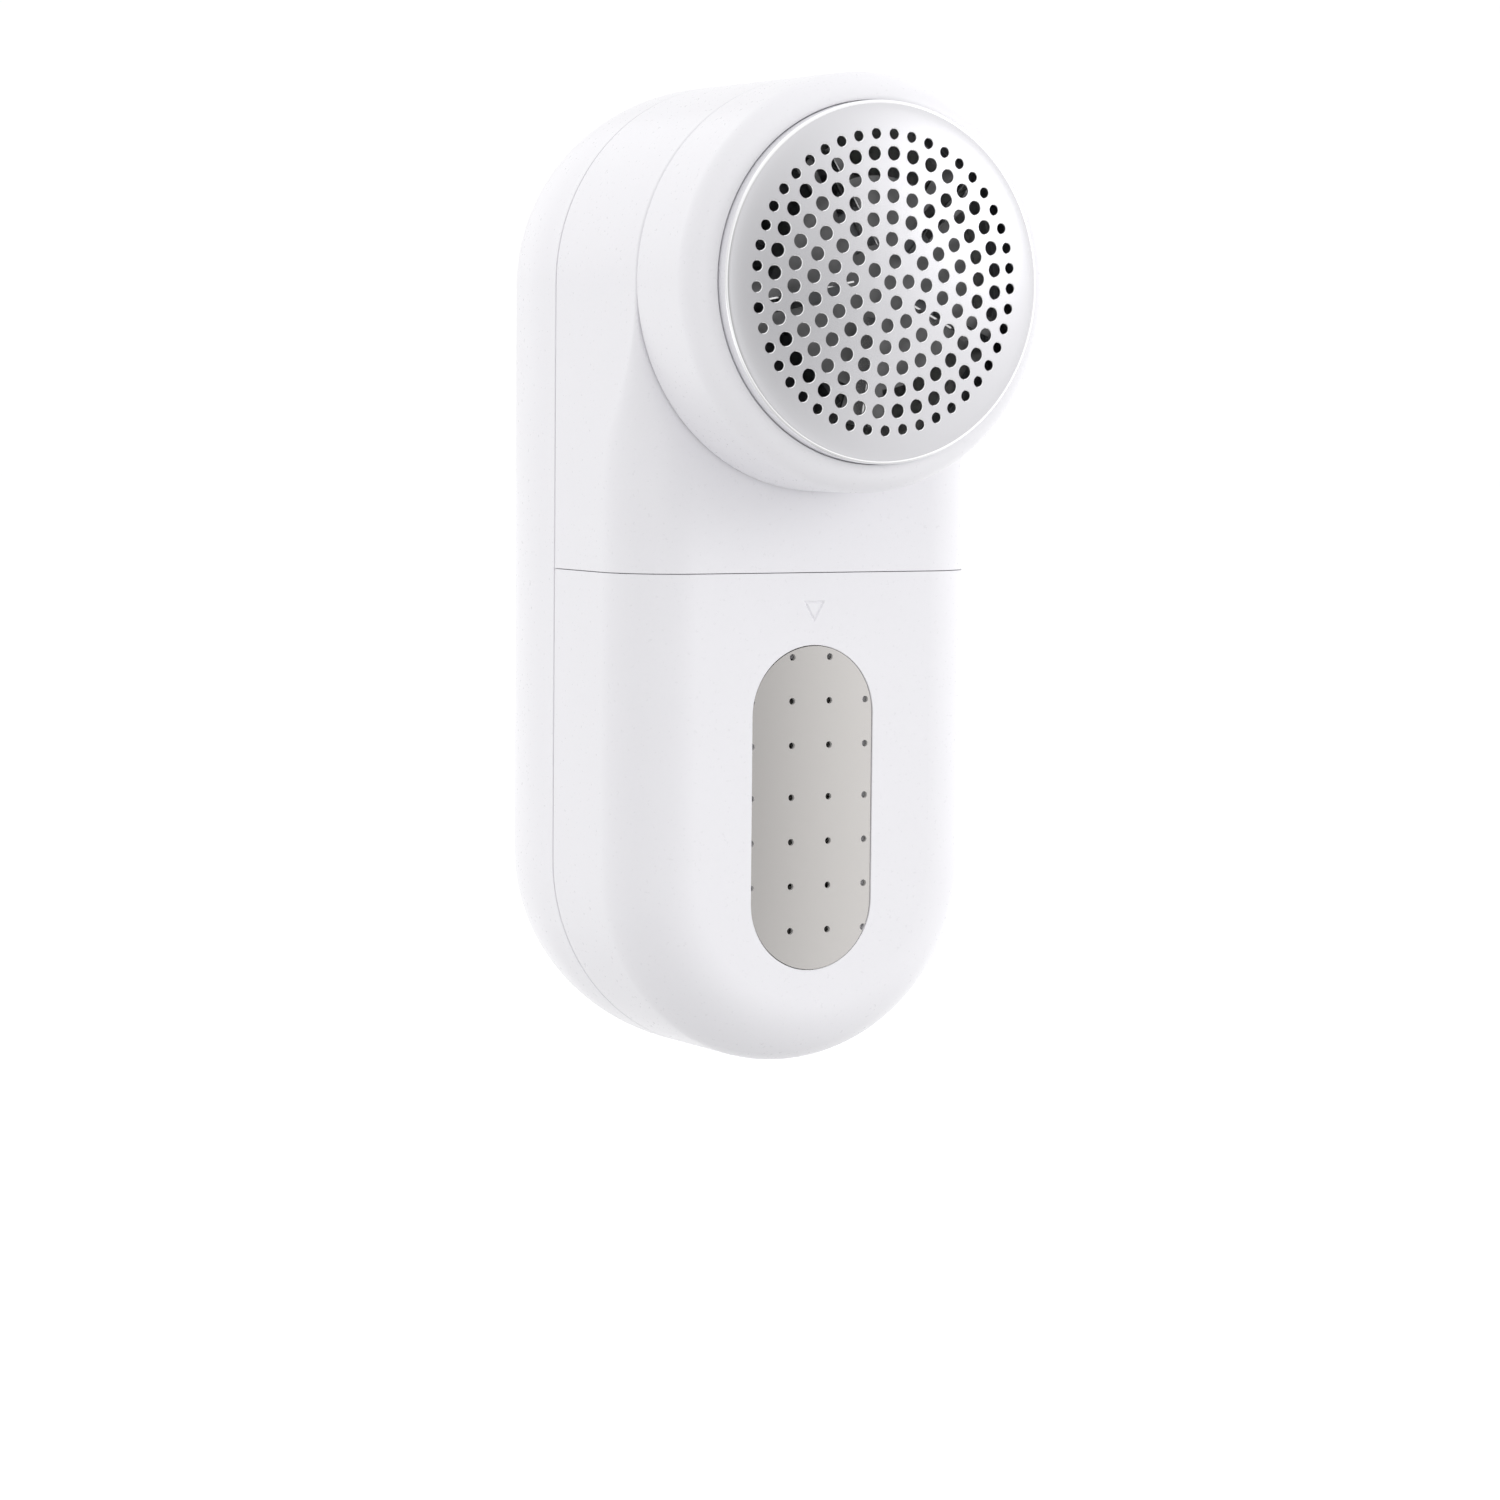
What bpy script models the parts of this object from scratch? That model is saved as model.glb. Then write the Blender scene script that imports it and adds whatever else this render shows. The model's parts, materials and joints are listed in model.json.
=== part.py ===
"""Battery fabric shaver: an upright stadium-shaped body with a round shaving head at its top.

Frame: metres, +Z up, the front and its steel foil face -Y, X = 0 is the middle plane, and the
origin is under the middle of the bounding box. Depths are measured backwards from the flat
front face of the body, so a point in front of that face has a negative depth.
"""

import math

import bmesh
import bpy
from mathutils import Matrix, Vector

# Body
HALF_WIDTH = 0.0300  # also the radius of both rounded ends and of the head
HEIGHT = 0.1450
BODY_DEPTH = 0.0510
FRONT_Y = -0.01525  # the flat front face
HEAD_Z = HEIGHT - HALF_WIDTH  # axis of the head, which is also the centre of the top end
FOOT_Z = HALF_WIDTH  # centre of the bottom end
PARTING_DEPTH = 0.0250  # plane between the front pieces and the rear housing
SEAM_Z = 0.0731  # top of the lint box
SEAM_GAP = 0.0003
WALL = 0.0020
FRONT_ROUNDING = 0.0100
HEAD_EDGE = 0.0004
REAR_STRIP = 0.0045  # straight side wall behind the parting plane
REAR_CORNER_ACROSS = 0.0115
CLEARANCE = 0.0003
ROD_TURN = 0.17

# Window of the lint box
WINDOW_Z = 0.0385
WINDOW_HALF_WIDTH = 0.0102
WINDOW_HALF_HEIGHT = 0.02395
VENT_PITCH = 0.0064
VENT_STEP = 0.0012  # extra height between the third and fourth rows
VENT_RADIUS = 0.00045

# Head
FOIL_RADIUS = 0.02575
FOIL_EDGE_DEPTH = -0.01885
FOIL_CROWN = 0.00165
FOIL_SHEET = 0.0004
CROWN_RADIUS = 0.0250
HOLE_RING_RADIUS = 0.0210
LARGE_HOLE = 0.0010
SMALL_HOLE = 0.00075
HOLE_RINGS = (  # (share of the outer ring's radius, holes, angle of the first hole)
    (0.1457, 5, 2.8),
    (0.291, 12, 27.2),
    (0.437, 18, 7.0),
    (0.583, 24, 11.8),
    (0.728, 30, 2.8),
    (0.870, 36, 6.7),
    (1.000, 45, 6.7),
)
COLLAR_RIM_DEPTH = -0.0168
COLLAR_BORE = 0.0261
COLLAR_SKIRT_BORE = 0.0274
LUG_ANGLES = (90, 210, 330)
LUG_HALF_WIDTH = 0.0040

# Blade and drive
BLADE_ARMS = 5
BLADE_FIRST_EDGE = 119.5
BLADE_PLATE_DEPTHS = (-0.0166, -0.0161)
BLADE_HUB_RADIUS = 0.0050
BLADE_WAIST_RADIUS = 0.0152  # between an arm's two tips
BLADE_TIP_RADIUS = 0.0205
BLADE_TIP_DEGREES = 11
BLADE_EDGE_OFFSET = 0.0009  # a cutting edge runs this far clockwise of its own radius
BLADE_GAP = 0.0020
BLADE_FIN = 0.0005
BLADE_INSET = 0.0002  # from the plate's outline to a fin
CARRIER_RADIUS = 0.0110
CARRIER_DEPTHS = (-0.0158, -0.0146)
SLEEVE_RADIUS = 0.0034
SLEEVE_END_DEPTH = -0.00275
SHAFT_RADIUS = 0.0010
SHAFT_BORE = 0.0013
CHAMBER_RADIUS = 0.0262
CHAMBER_WALL = 0.0014
CHAMBER_RIM_DEPTH = -0.00375
CHAMBER_FLOOR_DEPTH = 0.01985
CHUTE_HALF_WIDTH = 0.0140
CHUTE_DEPTHS = (0.00525, 0.0209)
FAN_RADIUS = 0.0210
FAN_HUB_RADIUS = 0.0040
FAN_DEPTHS = (0.00725, 0.01745)
FAN_DISC = 0.0010
FAN_BLADES = 9
FAN_BLADE_RADII = (0.0070, 0.0200)
FAN_BLADE_LEAN = 28
FAN_BLADE_HALF = 0.0005
MOTOR_RADIUS = 0.0120
MOTOR_DEPTHS = (0.02205, 0.04585)

# Power
CELL_RADIUS = 0.0072
CELL_LENGTH = 0.0505
CELL_X = 0.00745
CELL_DEPTH = 0.03925
DOOR_HALF_WIDTH = 0.0165
DOOR_Z = (0.0160, 0.0775)
SWITCH_Z = 0.0880
SWITCH_TRAVEL = 0.0050

# Frame and fasteners
FRAME_DEPTHS = (0.02555, 0.02715)
RAIL_X = 0.0140
RAIL_Z = (0.0500, 0.0620)
FRAME_SCREWS = ((-0.0165, 0.1310), (0.0165, 0.1310), (-0.0070, 0.0090), (0.0070, 0.0090))
HOUSING_SCREWS = ((-0.0225, 0.0800), (0.0225, 0.0800))
CHAMBER_SCREWS = ((-0.0180, HEAD_Z), (0.0180, HEAD_Z))
MOTOR_SCREWS = ((0.0, HEAD_Z - 0.0075), (0.0, HEAD_Z + 0.0075))
SCREW_HOLE = 0.00115
SCREW_SHANK = 0.0008
SCREW_HEAD = 0.0019

WHITE = ((0.86, 0.865, 0.89, 1), 0.32, 0.0)
INNER_WHITE = ((0.80, 0.80, 0.80, 1), 0.50, 0.0)
GREY = ((0.33, 0.34, 0.35, 1), 0.55, 0.0)
BLACK = ((0.03, 0.03, 0.03, 1), 0.60, 0.0)
STEEL = ((0.70, 0.70, 0.71, 1), 0.30, 1.0)
BRASS = ((0.80, 0.62, 0.28, 1), 0.30, 1.0)
CELL_WRAP = ((0.10, 0.22, 0.42, 1), 0.35, 0.0)
RED = ((0.55, 0.04, 0.03, 1), 0.50, 0.0)
BLUE = ((0.05, 0.10, 0.40, 1), 0.50, 0.0)


def y_at(depth):
    return FRONT_Y + depth


# ---------------------------------------------------------------- scene and materials


def clear_scene():
    for thing in list(bpy.data.objects):
        bpy.data.objects.remove(thing, do_unlink=True)


def new_collection(name):
    made = bpy.data.collections.new(name)
    bpy.context.scene.collection.children.link(made)
    return made


def material(name, look):
    colour, roughness, metallic = look
    made = bpy.data.materials.new(name)
    made.use_nodes = True
    shader = made.node_tree.nodes["Principled BSDF"]
    shader.inputs["Base Color"].default_value = colour
    shader.inputs["Roughness"].default_value = roughness
    shader.inputs["Metallic"].default_value = metallic
    made.diffuse_color = colour
    return made


def add_part(name, data, look):
    """A node of the object, linked to its collection with a material of its own."""
    part = bpy.data.objects.new(name, data)
    parts.objects.link(part)
    data.materials.append(material(name, look))
    if part.type == "MESH":
        data.shade_smooth()
        data.set_sharp_from_angle(angle=math.radians(35))
    return part


def add_cutter(name, mesh):
    cutter = bpy.data.objects.new(name, mesh)
    cutters.objects.link(cutter)
    cutter.hide_render = True
    cutter.display_type = "WIRE"
    return cutter


def join_or_cut(part, meshes, operation):
    """Adds one Boolean modifier for each helper mesh."""
    for number, mesh in enumerate(meshes):
        tool = add_cutter(f"{part.name}_{operation.lower()}_{number}", mesh)
        modifier = part.modifiers.new(tool.name, "BOOLEAN")
        modifier.operation = operation
        modifier.object = tool


def cut(part, *meshes):
    join_or_cut(part, meshes, "DIFFERENCE")


def join(part, *meshes):
    join_or_cut(part, meshes, "UNION")


def pivot(name, x, y, z):
    """An empty on a joint's axis, which carries the pieces that move with it."""
    empty = bpy.data.objects.new(name, None)
    parts.objects.link(empty)
    empty.location = (x, y, z)
    empty.empty_display_size = 0.01
    bpy.context.view_layer.update()
    return empty


def carry(empty, *moving):
    """Parents pieces to an empty without moving them."""
    for part in moving:
        part.parent = empty
        part.matrix_parent_inverse = empty.matrix_world.inverted()


# ---------------------------------------------------------------- shapes


def mesh_from(bm, name):
    bmesh.ops.recalc_face_normals(bm, faces=bm.faces)
    mesh = bpy.data.meshes.new(name)
    bm.to_mesh(mesh)
    bm.free()
    return mesh


def box_mesh(name, xs, depths, zs):
    bm = bmesh.new()
    size = (xs[1] - xs[0], depths[1] - depths[0], zs[1] - zs[0])
    middle = (sum(xs) / 2, y_at(sum(depths) / 2), sum(zs) / 2)
    place = Matrix.Translation(middle) @ Matrix.Diagonal((*size, 1))
    bmesh.ops.create_cube(bm, size=1, matrix=place)
    return mesh_from(bm, name)


def rod_mesh(name, x, z, radius, depths, sides=16):
    """A cylinder that lies front to back, turned so that its edges miss those of turned parts."""
    bm = bmesh.new()
    place = (Matrix.Translation((x, y_at(sum(depths) / 2), z))
             @ Matrix.Rotation(math.pi / 2, 4, "X") @ Matrix.Rotation(ROD_TURN, 4, "Z"))
    bmesh.ops.create_cone(bm, cap_ends=True, segments=sides, radius1=radius, radius2=radius,
                          depth=depths[1] - depths[0], matrix=place)
    return mesh_from(bm, name)


def flat_mesh(name, outlines, depths):
    """A plate of constant thickness from (x, z) outlines; inner outlines are holes."""
    curve = bpy.data.curves.new(name, "CURVE")
    curve.dimensions = "2D"
    curve.fill_mode = "BOTH"
    curve.extrude = (depths[1] - depths[0]) / 2
    for outline in outlines:
        spline = curve.splines.new("POLY")
        spline.points.add(len(outline) - 1)
        for point, (x, z) in zip(spline.points, outline):
            point.co = (x, z, 0, 1)
        spline.use_cyclic_u = True
    plate = bpy.data.objects.new(name, curve)
    cutters.objects.link(plate)
    plate.rotation_euler = (math.pi / 2, 0, 0)
    plate.location = (0, y_at(sum(depths) / 2), 0)
    return baked_curve(plate)


def baked_curve(curve_object):
    """Turns a curve object into a welded mesh in world space and removes the curve."""
    bpy.context.view_layer.update()
    graph = bpy.context.evaluated_depsgraph_get()
    mesh = bpy.data.meshes.new_from_object(curve_object.evaluated_get(graph))
    mesh.transform(curve_object.matrix_world)
    bm = bmesh.new()
    bm.from_mesh(mesh)
    bmesh.ops.remove_doubles(bm, verts=bm.verts, dist=1e-6)
    bpy.data.meshes.remove(mesh)
    made = mesh_from(bm, curve_object.name)
    curve = curve_object.data
    bpy.data.objects.remove(curve_object)
    bpy.data.curves.remove(curve)
    return made


def turned(name, profile, look, x=0.0, z=HEAD_Z, sides=32):
    """A ring or disc turned about a front-to-back axis from (radius, depth) points."""
    mesh = bpy.data.meshes.new(name)
    points = [(radius, 0, -depth) for radius, depth in profile]
    edges = [(i, (i + 1) % len(points)) for i in range(len(points))]
    mesh.from_pydata(points, edges, [])
    part = add_part(name, mesh, look)
    part.rotation_euler = (math.pi / 2, 0, 0)
    part.location = (x, FRONT_Y, z)
    screw = part.modifiers.new("turn", "SCREW")
    screw.steps = screw.render_steps = sides
    screw.use_merge_vertices = True
    screw.merge_threshold = 0.00001
    screw.use_smooth_shade = True
    return part


def ring_profile(inner, outer, depths):
    return [(outer, depths[0]), (outer, depths[1]), (inner, depths[1]), (inner, depths[0])]


def circle(radius, sides, x=0.0, z=0.0, first=0.0):
    """Outline points of a circle, counter-clockwise from the front."""
    angles = [math.radians(first) + 2 * math.pi * i / sides for i in range(sides)]
    return [(x + radius * math.cos(a), z + radius * math.sin(a)) for a in angles]


def stadium(half_width, half_height, z, steps=10, x=0.0):
    """Outline points of an upright stadium."""
    rise = half_height - half_width
    points = []
    for centre, start in ((z + rise, 0.0), (z - rise, math.pi)):
        for i in range(steps + 1):
            angle = start + math.pi * i / steps
            points.append((x + half_width * math.cos(angle), centre + half_width * math.sin(angle)))
    return points


def rounded_rectangle(half_width, z_low, z_high, low_radius, high_radius, steps=4):
    corners = (
        (half_width - high_radius, z_high - high_radius, high_radius, 0),
        (high_radius - half_width, z_high - high_radius, high_radius, 90),
        (low_radius - half_width, z_low + low_radius, low_radius, 180),
        (half_width - low_radius, z_low + low_radius, low_radius, 270),
    )
    points = []
    for x, z, radius, start in corners:
        for i in range(steps + 1):
            angle = math.radians(start + 90 * i / steps)
            points.append((x + radius * math.cos(angle), z + radius * math.sin(angle)))
    return points


def stations(z_sides, arc_z, upward, steps=18):
    """Where the body's section stands along its outline: (centre x, centre z, direction).

    The outline runs along the left side, round one end and back along the right side.
    """
    turn = 1 if upward else -1
    left = [(0.0, z, (-1.0, 0.0)) for z in z_sides]
    arc = []
    for i in range(steps + 1):
        angle = math.pi - turn * math.pi * i / steps
        arc.append((0.0, arc_z, (math.cos(angle), math.sin(angle))))
    right = [(0.0, z, (1.0, 0.0)) for z in reversed(z_sides)]
    return left + arc + right


def shell(name, route, section, look, closed=False):
    """A moulded wall: a section carried along the outline, capped at its last points.

    section(z) gives (inset, depth) points for a station, from the parting plane to the cap.
    """
    bm = bmesh.new()
    rows = []
    for x, z, (across, up) in route:
        row = []
        for inset, depth in section(z):
            reach = HALF_WIDTH - inset
            row.append(bm.verts.new((x + across * reach, y_at(depth), z + up * reach)))
        rows.append(row)
    pairs = list(zip(rows, rows[1:] + rows[:1] if closed else rows[1:]))
    for here, there in pairs:
        for i in range(len(here) - 1):
            bm.faces.new((here[i], here[i + 1], there[i + 1], there[i]))
    bm.faces.new([row[-1] for row in rows])
    part = add_part(name, mesh_from(bm, name), look)
    solidify = part.modifiers.new("wall", "SOLIDIFY")
    solidify.thickness = WALL
    solidify.offset = -1
    solidify.use_even_offset = True
    return part


def helix(name, x, y, z, radius, length, turns, wire, look, along="Z"):
    """A coil spring that starts at the given point."""
    steps = int(10 * turns)
    curve = bpy.data.curves.new(name, "CURVE")
    curve.dimensions = "3D"
    curve.bevel_depth = wire
    curve.bevel_resolution = 1
    curve.use_fill_caps = True
    spline = curve.splines.new("POLY")
    spline.points.add(steps)
    for i, point in enumerate(spline.points):
        angle = 2 * math.pi * turns * i / steps
        across, up, ahead = radius * math.cos(angle), radius * math.sin(angle), length * i / steps
        offset = (across, up, ahead) if along == "Z" else (across, ahead, up)
        point.co = (x + offset[0], y + offset[1], z + offset[2], 1)
    return add_part(name, curve, look)


def lead(name, route, look, radius=0.0006):
    """An insulated wire on a smooth path through (x, depth, z) points."""
    knots = [Vector((x, y_at(depth), z)) for x, depth, z in route]
    ends = [knots[0] * 2 - knots[1], *knots, knots[-1] * 2 - knots[-2]]
    points = []
    for before, start, stop, after in zip(ends, ends[1:], ends[2:], ends[3:]):
        for i in range(3):
            t = i / 3
            points.append(0.5 * (2 * start + (stop - before) * t
                                 + (2 * before - 5 * start + 4 * stop - after) * t ** 2
                                 + (3 * start - before - 3 * stop + after) * t ** 3))
    points.append(knots[-1])
    curve = bpy.data.curves.new(name, "CURVE")
    curve.dimensions = "3D"
    curve.bevel_depth = radius
    curve.bevel_resolution = 1
    curve.use_fill_caps = True
    spline = curve.splines.new("POLY")
    spline.points.add(len(points) - 1)
    for place, point in zip(points, spline.points):
        point.co = (*place, 1)
    return add_part(name, curve, look)


def screw(name, x, z, head_depth, length, backwards=True):
    """A pan-head screw whose head's under side lies at head_depth."""
    turn = 1 if backwards else -1
    head, tip = head_depth - 0.0012 * turn, head_depth + length * turn
    profile = [(0, head), (SCREW_HEAD * 0.7, head), (SCREW_HEAD, head + 0.0005 * turn),
               (SCREW_HEAD, head_depth), (SCREW_SHANK, head_depth), (SCREW_SHANK, tip), (0, tip)]
    part = turned(name, profile if backwards else profile[::-1], STEEL, x=x, z=z, sides=8)
    # The outline is open on the axis, so its closing edge along the axis goes.
    open_on_axis(part)
    return part


def open_on_axis(part):
    """Removes a turned profile's edge along its own axis, leaving a solid disc or pin."""
    bm = bmesh.new()
    bm.from_mesh(part.data)
    on_axis = [e for e in bm.edges if all(abs(v.co.x) < 1e-9 for v in e.verts)]
    bmesh.ops.delete(bm, geom=on_axis, context="EDGES")
    bm.to_mesh(part.data)
    bm.free()


# ---------------------------------------------------------------- housings


def rounding_at(z):
    """The front edge's rounding, which dies away smoothly towards the round head."""
    inside = HALF_WIDTH ** 2 - (HEAD_Z - z) ** 2
    if inside <= 0:
        return FRONT_ROUNDING
    room = max(HEAD_EDGE, HALF_WIDTH - math.sqrt(inside))
    return max(HEAD_EDGE, (FRONT_ROUNDING ** -4 + room ** -4) ** -0.25)


def front_section(z):
    """Section of the front pieces, from the parting plane to the flat front face."""
    rounding = rounding_at(z)
    points = [(0.0, PARTING_DEPTH - SEAM_GAP / 2)]
    for i in range(5):
        angle = math.radians(90 * i / 4)
        points.append((rounding * (1 - math.cos(angle)), rounding * (1 - math.sin(angle))))
    return points


def rear_section(_):
    start = PARTING_DEPTH + REAR_STRIP
    deep = BODY_DEPTH - start
    points = [(0.0, PARTING_DEPTH + SEAM_GAP / 2)]
    for i in range(6):
        angle = math.radians(90 * i / 5)
        points.append((REAR_CORNER_ACROSS * (1 - math.cos(angle)), start + deep * math.sin(angle)))
    return points


def front_housing():
    low = SEAM_Z + SEAM_GAP / 2
    z_sides = [low, 0.0850, 0.0925, 0.0960, 0.1000, 0.1060]
    housing = shell("front_housing", stations(z_sides, HEAD_Z, True), front_section, WHITE)
    bosses = [rod_mesh("boss", x, z, 0.0028, (0.0030, 0.02515)) for x, z in HOUSING_SCREWS]
    join(housing, *bosses)
    bores = [rod_mesh("bore", x, z, SCREW_HOLE, (0.0150, 0.0260), 12) for x, z in HOUSING_SCREWS]
    opening = rod_mesh("opening", 0, HEAD_Z, CHAMBER_RADIUS + 0.0004, (-0.004, 0.004), 40)
    cut(housing, opening, *bores)
    return housing


def lint_box():
    top = SEAM_Z - SEAM_GAP / 2
    box = shell("lint_box", stations([top, 0.0500], FOOT_Z, False), front_section, WHITE)
    pocket = stadium(WINDOW_HALF_WIDTH, WINDOW_HALF_HEIGHT, WINDOW_Z)
    margin = 0.0015
    through = stadium(WINDOW_HALF_WIDTH - margin, WINDOW_HALF_HEIGHT - margin, WINDOW_Z)
    cut(box, flat_mesh("pocket", [pocket], (-0.001, 0.0011)),
        flat_mesh("through", [through], (-0.001, 0.003)))
    return box


def open_mark(box):
    """A small shallow triangle that points the way the box slides."""
    half, rise, top, deep = 0.00185, 0.0033, 0.0690, 0.00015
    cut(box, flat_mesh("mark", [[(-half, top), (half, top), (0, top - rise)]], (-0.001, deep)))


def lint_box_back():
    """The box's flat inner wall, with the two T-shaped rails that run in the frame."""
    reach = HALF_WIDTH - WALL - CLEARANCE
    top = SEAM_Z - SEAM_GAP / 2
    outline = [(reach, top), (-reach, top)]
    for i in range(17):
        angle = math.pi + math.pi * i / 16
        outline.append((reach * math.cos(angle), FOOT_Z + reach * math.sin(angle)))
    back = add_part("lint_box_back", flat_mesh("lint_box_back", [outline], (0.02185, 0.02345)),
                    INNER_WHITE)
    for side in (-1, 1):
        x = side * RAIL_X
        join(back, box_mesh("stem", (x - 0.0009, x + 0.0009), (0.0230, 0.0280), RAIL_Z),
             box_mesh("tee", (x - 0.0024, x + 0.0024), (0.02745, 0.02885), RAIL_Z))
    return back


def vent_rows():
    """Heights of the seven rows of vents, counted from the window's middle."""
    for row in range(-3, 4):
        yield row * VENT_PITCH + (VENT_STEP if row > 0 else 0.0) - VENT_STEP / 2


def vent_plate():
    half_width, half_height = WINDOW_HALF_WIDTH - 0.0003, WINDOW_HALF_HEIGHT - 0.0003
    holes = []
    for offset in vent_rows():
        for column in (-0.5, 0.5):
            holes.append(circle(VENT_RADIUS, 6, column * VENT_PITCH, WINDOW_Z + offset))
    outlines = [stadium(half_width, half_height, WINDOW_Z), *holes]
    return add_part("vent_plate", flat_mesh("vent_plate", outlines, (0.0001, 0.0008)), STEEL)


def lint_filter():
    frame = [stadium(0.0130, 0.0265, WINDOW_Z), stadium(0.0100, 0.0235, WINDOW_Z)]
    add_part("filter_frame", flat_mesh("filter_frame", frame, (0.0023, 0.0033)), GREY)
    screen = [stadium(0.0097, 0.0232, WINDOW_Z)]
    add_part("filter_screen", flat_mesh("filter_screen", screen, (0.0026, 0.0030)), INNER_WHITE)


def rear_housing():
    heights = (FOOT_Z, HEAD_Z)
    left = [(0.0, z, (-1.0, 0.0)) for z in heights]
    top = stations([], HEAD_Z, True)[1:-1]
    right = [(0.0, z, (1.0, 0.0)) for z in reversed(heights)]
    bottom = stations([], FOOT_Z, False)[1:-1][::-1]
    housing = shell("rear_housing", left + top + right + bottom, rear_section, WHITE, closed=True)
    bosses = [rod_mesh("boss", x, z, 0.0027, (0.02745, 0.04475)) for x, z in FRAME_SCREWS]
    join(housing, *bosses)
    bores = [rod_mesh("bore", x, z, SCREW_HOLE, (0.0270, 0.0373), 12) for x, z in FRAME_SCREWS]
    door = rounded_rectangle(DOOR_HALF_WIDTH + CLEARANCE, DOOR_Z[0] - CLEARANCE,
                             DOOR_Z[1] + CLEARANCE, 0.0093, 0.0053)
    well = stadium(0.0070, 0.0115, SWITCH_Z + SWITCH_TRAVEL / 2)
    slot = stadium(0.0022, 0.0022 + 0.0012 + SWITCH_TRAVEL / 2, SWITCH_Z + SWITCH_TRAVEL / 2)
    cut(housing, flat_mesh("door_opening", [door], (0.0480, 0.0520)),
        flat_mesh("switch_well", [well], (0.0498, 0.0520)),
        flat_mesh("switch_slot", [slot], (0.0480, 0.0520)), *bores)
    return housing


def inner_frame():
    """The plate at the parting plane: it carries the motor, the rails and the front housing."""
    outline = stadium(HALF_WIDTH - WALL - 0.0004, HEIGHT / 2 - WALL - 0.0004, HEIGHT / 2, 18)
    motor = circle(0.0139, 28, 0, HEAD_Z, first=4)
    # Holes that face each other are turned differently, so that no corners line up.
    holes = [circle(SCREW_HOLE + 0.0001, 6, x, z, first=20 if x < 0 else 33)
             for x, z in FRAME_SCREWS + HOUSING_SCREWS + CHAMBER_SCREWS]
    frame = add_part("inner_frame", flat_mesh("inner_frame", [outline, motor, *holes], FRAME_DEPTHS),
                     INNER_WHITE)
    for side in (-1, 1):
        cut(frame, flat_mesh("rail_slot", [rail_slot(side * RAIL_X)], (0.0250, 0.0280)))
    return frame


def rail_slot(x):
    """A slot that is open at the bottom, with a wider stretch where the rail's head passes."""
    narrow, wide, top = 0.0013, 0.0028, RAIL_Z[1] + 0.0006
    right = [(narrow, top), (narrow, 0.0250), (wide, 0.0250), (wide, 0.0105), (narrow, 0.0105),
             (narrow, -0.0010)]
    left = [(-across, z) for across, z in reversed(right)]
    return [(x + across, z) for across, z in right + left]


# ---------------------------------------------------------------- shaving head


def crown(radius):
    """How far the foil's domed face stands in front of its edge at this radius."""
    inside = max(0.0, 1 - (radius / CROWN_RADIUS) ** 2)
    return FOIL_CROWN * inside ** 1.5


def shaving_foil():
    """A steel cup: domed perforated face, straight wall and a rear flange that is clamped."""
    outlines = [circle(FOIL_RADIUS - 0.0002, 48), circle(LARGE_HOLE, 6)]
    for share, count, first in HOLE_RINGS:
        small = share == 1.0
        for x, z in circle(share * HOLE_RING_RADIUS, count, first=first):
            outlines.append(circle(SMALL_HOLE if small else LARGE_HOLE, 5 if small else 6, x, z))
    mesh = flat_mesh("shaving_foil", outlines, (FOIL_EDGE_DEPTH, FOIL_EDGE_DEPTH + FOIL_SHEET))
    for vertex in mesh.vertices:
        vertex.co.y -= crown(math.hypot(vertex.co.x, vertex.co.z))
    mesh.transform(Matrix.Translation((0, 0, HEAD_Z)))
    foil = add_part("shaving_foil", mesh, STEEL)
    inner, flange = FOIL_RADIUS - FOIL_SHEET, 0.0271
    wall = [(FOIL_RADIUS, FOIL_EDGE_DEPTH + 0.0001), (FOIL_RADIUS, -0.00905), (flange, -0.00905),
            (flange, -0.00865), (inner, -0.00865), (inner, FOIL_EDGE_DEPTH + 0.0001)]
    join(foil, turned_mesh("wall", wall, 48))
    return foil


def turned_mesh(name, profile, sides):
    """A turned ring as a plain helper mesh about the head's axis."""
    bm = bmesh.new()
    rows = []
    for i in range(sides):
        angle = 2 * math.pi * i / sides
        across, up = math.cos(angle), math.sin(angle)
        rows.append([bm.verts.new((r * across, y_at(d), HEAD_Z + r * up)) for r, d in profile])
    for here, there in zip(rows, rows[1:] + rows[:1]):
        for i in range(len(profile)):
            following = (i + 1) % len(profile)
            bm.faces.new((here[i], here[following], there[following], there[i]))
    return mesh_from(bm, name)


def radial_box(angle, radii, depths, half_width=LUG_HALF_WIDTH, aside=0.0, lean=0.0):
    """A box that points away from the head's axis.

    It can be moved aside and leaned about its inner end, both counter-clockwise.
    """
    bm = bmesh.new()
    length = radii[1] - radii[0]
    place = (Matrix.Translation((0, y_at(sum(depths) / 2), HEAD_Z))
             @ Matrix.Rotation(math.radians(-angle), 4, "Y")
             @ Matrix.Translation((radii[0], 0, aside))
             @ Matrix.Rotation(math.radians(-lean), 4, "Y")
             @ Matrix.Translation((length / 2, 0, 0))
             @ Matrix.Diagonal((length, depths[1] - depths[0], 2 * half_width, 1)))
    bmesh.ops.create_cube(bm, size=1, matrix=place)
    return mesh_from(bm, "radial_box")


def head_collar():
    """The white ring that holds the foil; it twists to come off."""
    corner, deep = HALF_WIDTH - COLLAR_BORE, 0.00445
    profile = [(COLLAR_BORE, -0.00935), (COLLAR_SKIRT_BORE, -0.00935),
               (COLLAR_SKIRT_BORE, -SEAM_GAP), (HALF_WIDTH, -SEAM_GAP)]
    rim = []
    for i in range(5):
        angle = math.radians(90 * i / 4)
        rim.append((COLLAR_BORE + corner * math.cos(angle),
                    COLLAR_RIM_DEPTH + deep * (1 - math.sin(angle))))
    collar = turned("head_collar", (profile + rim)[::-1], WHITE, sides=48)
    join(collar, *[radial_box(a, (0.0266, 0.0280), (-0.00165, -0.00065)) for a in LUG_ANGLES])
    return collar


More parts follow.
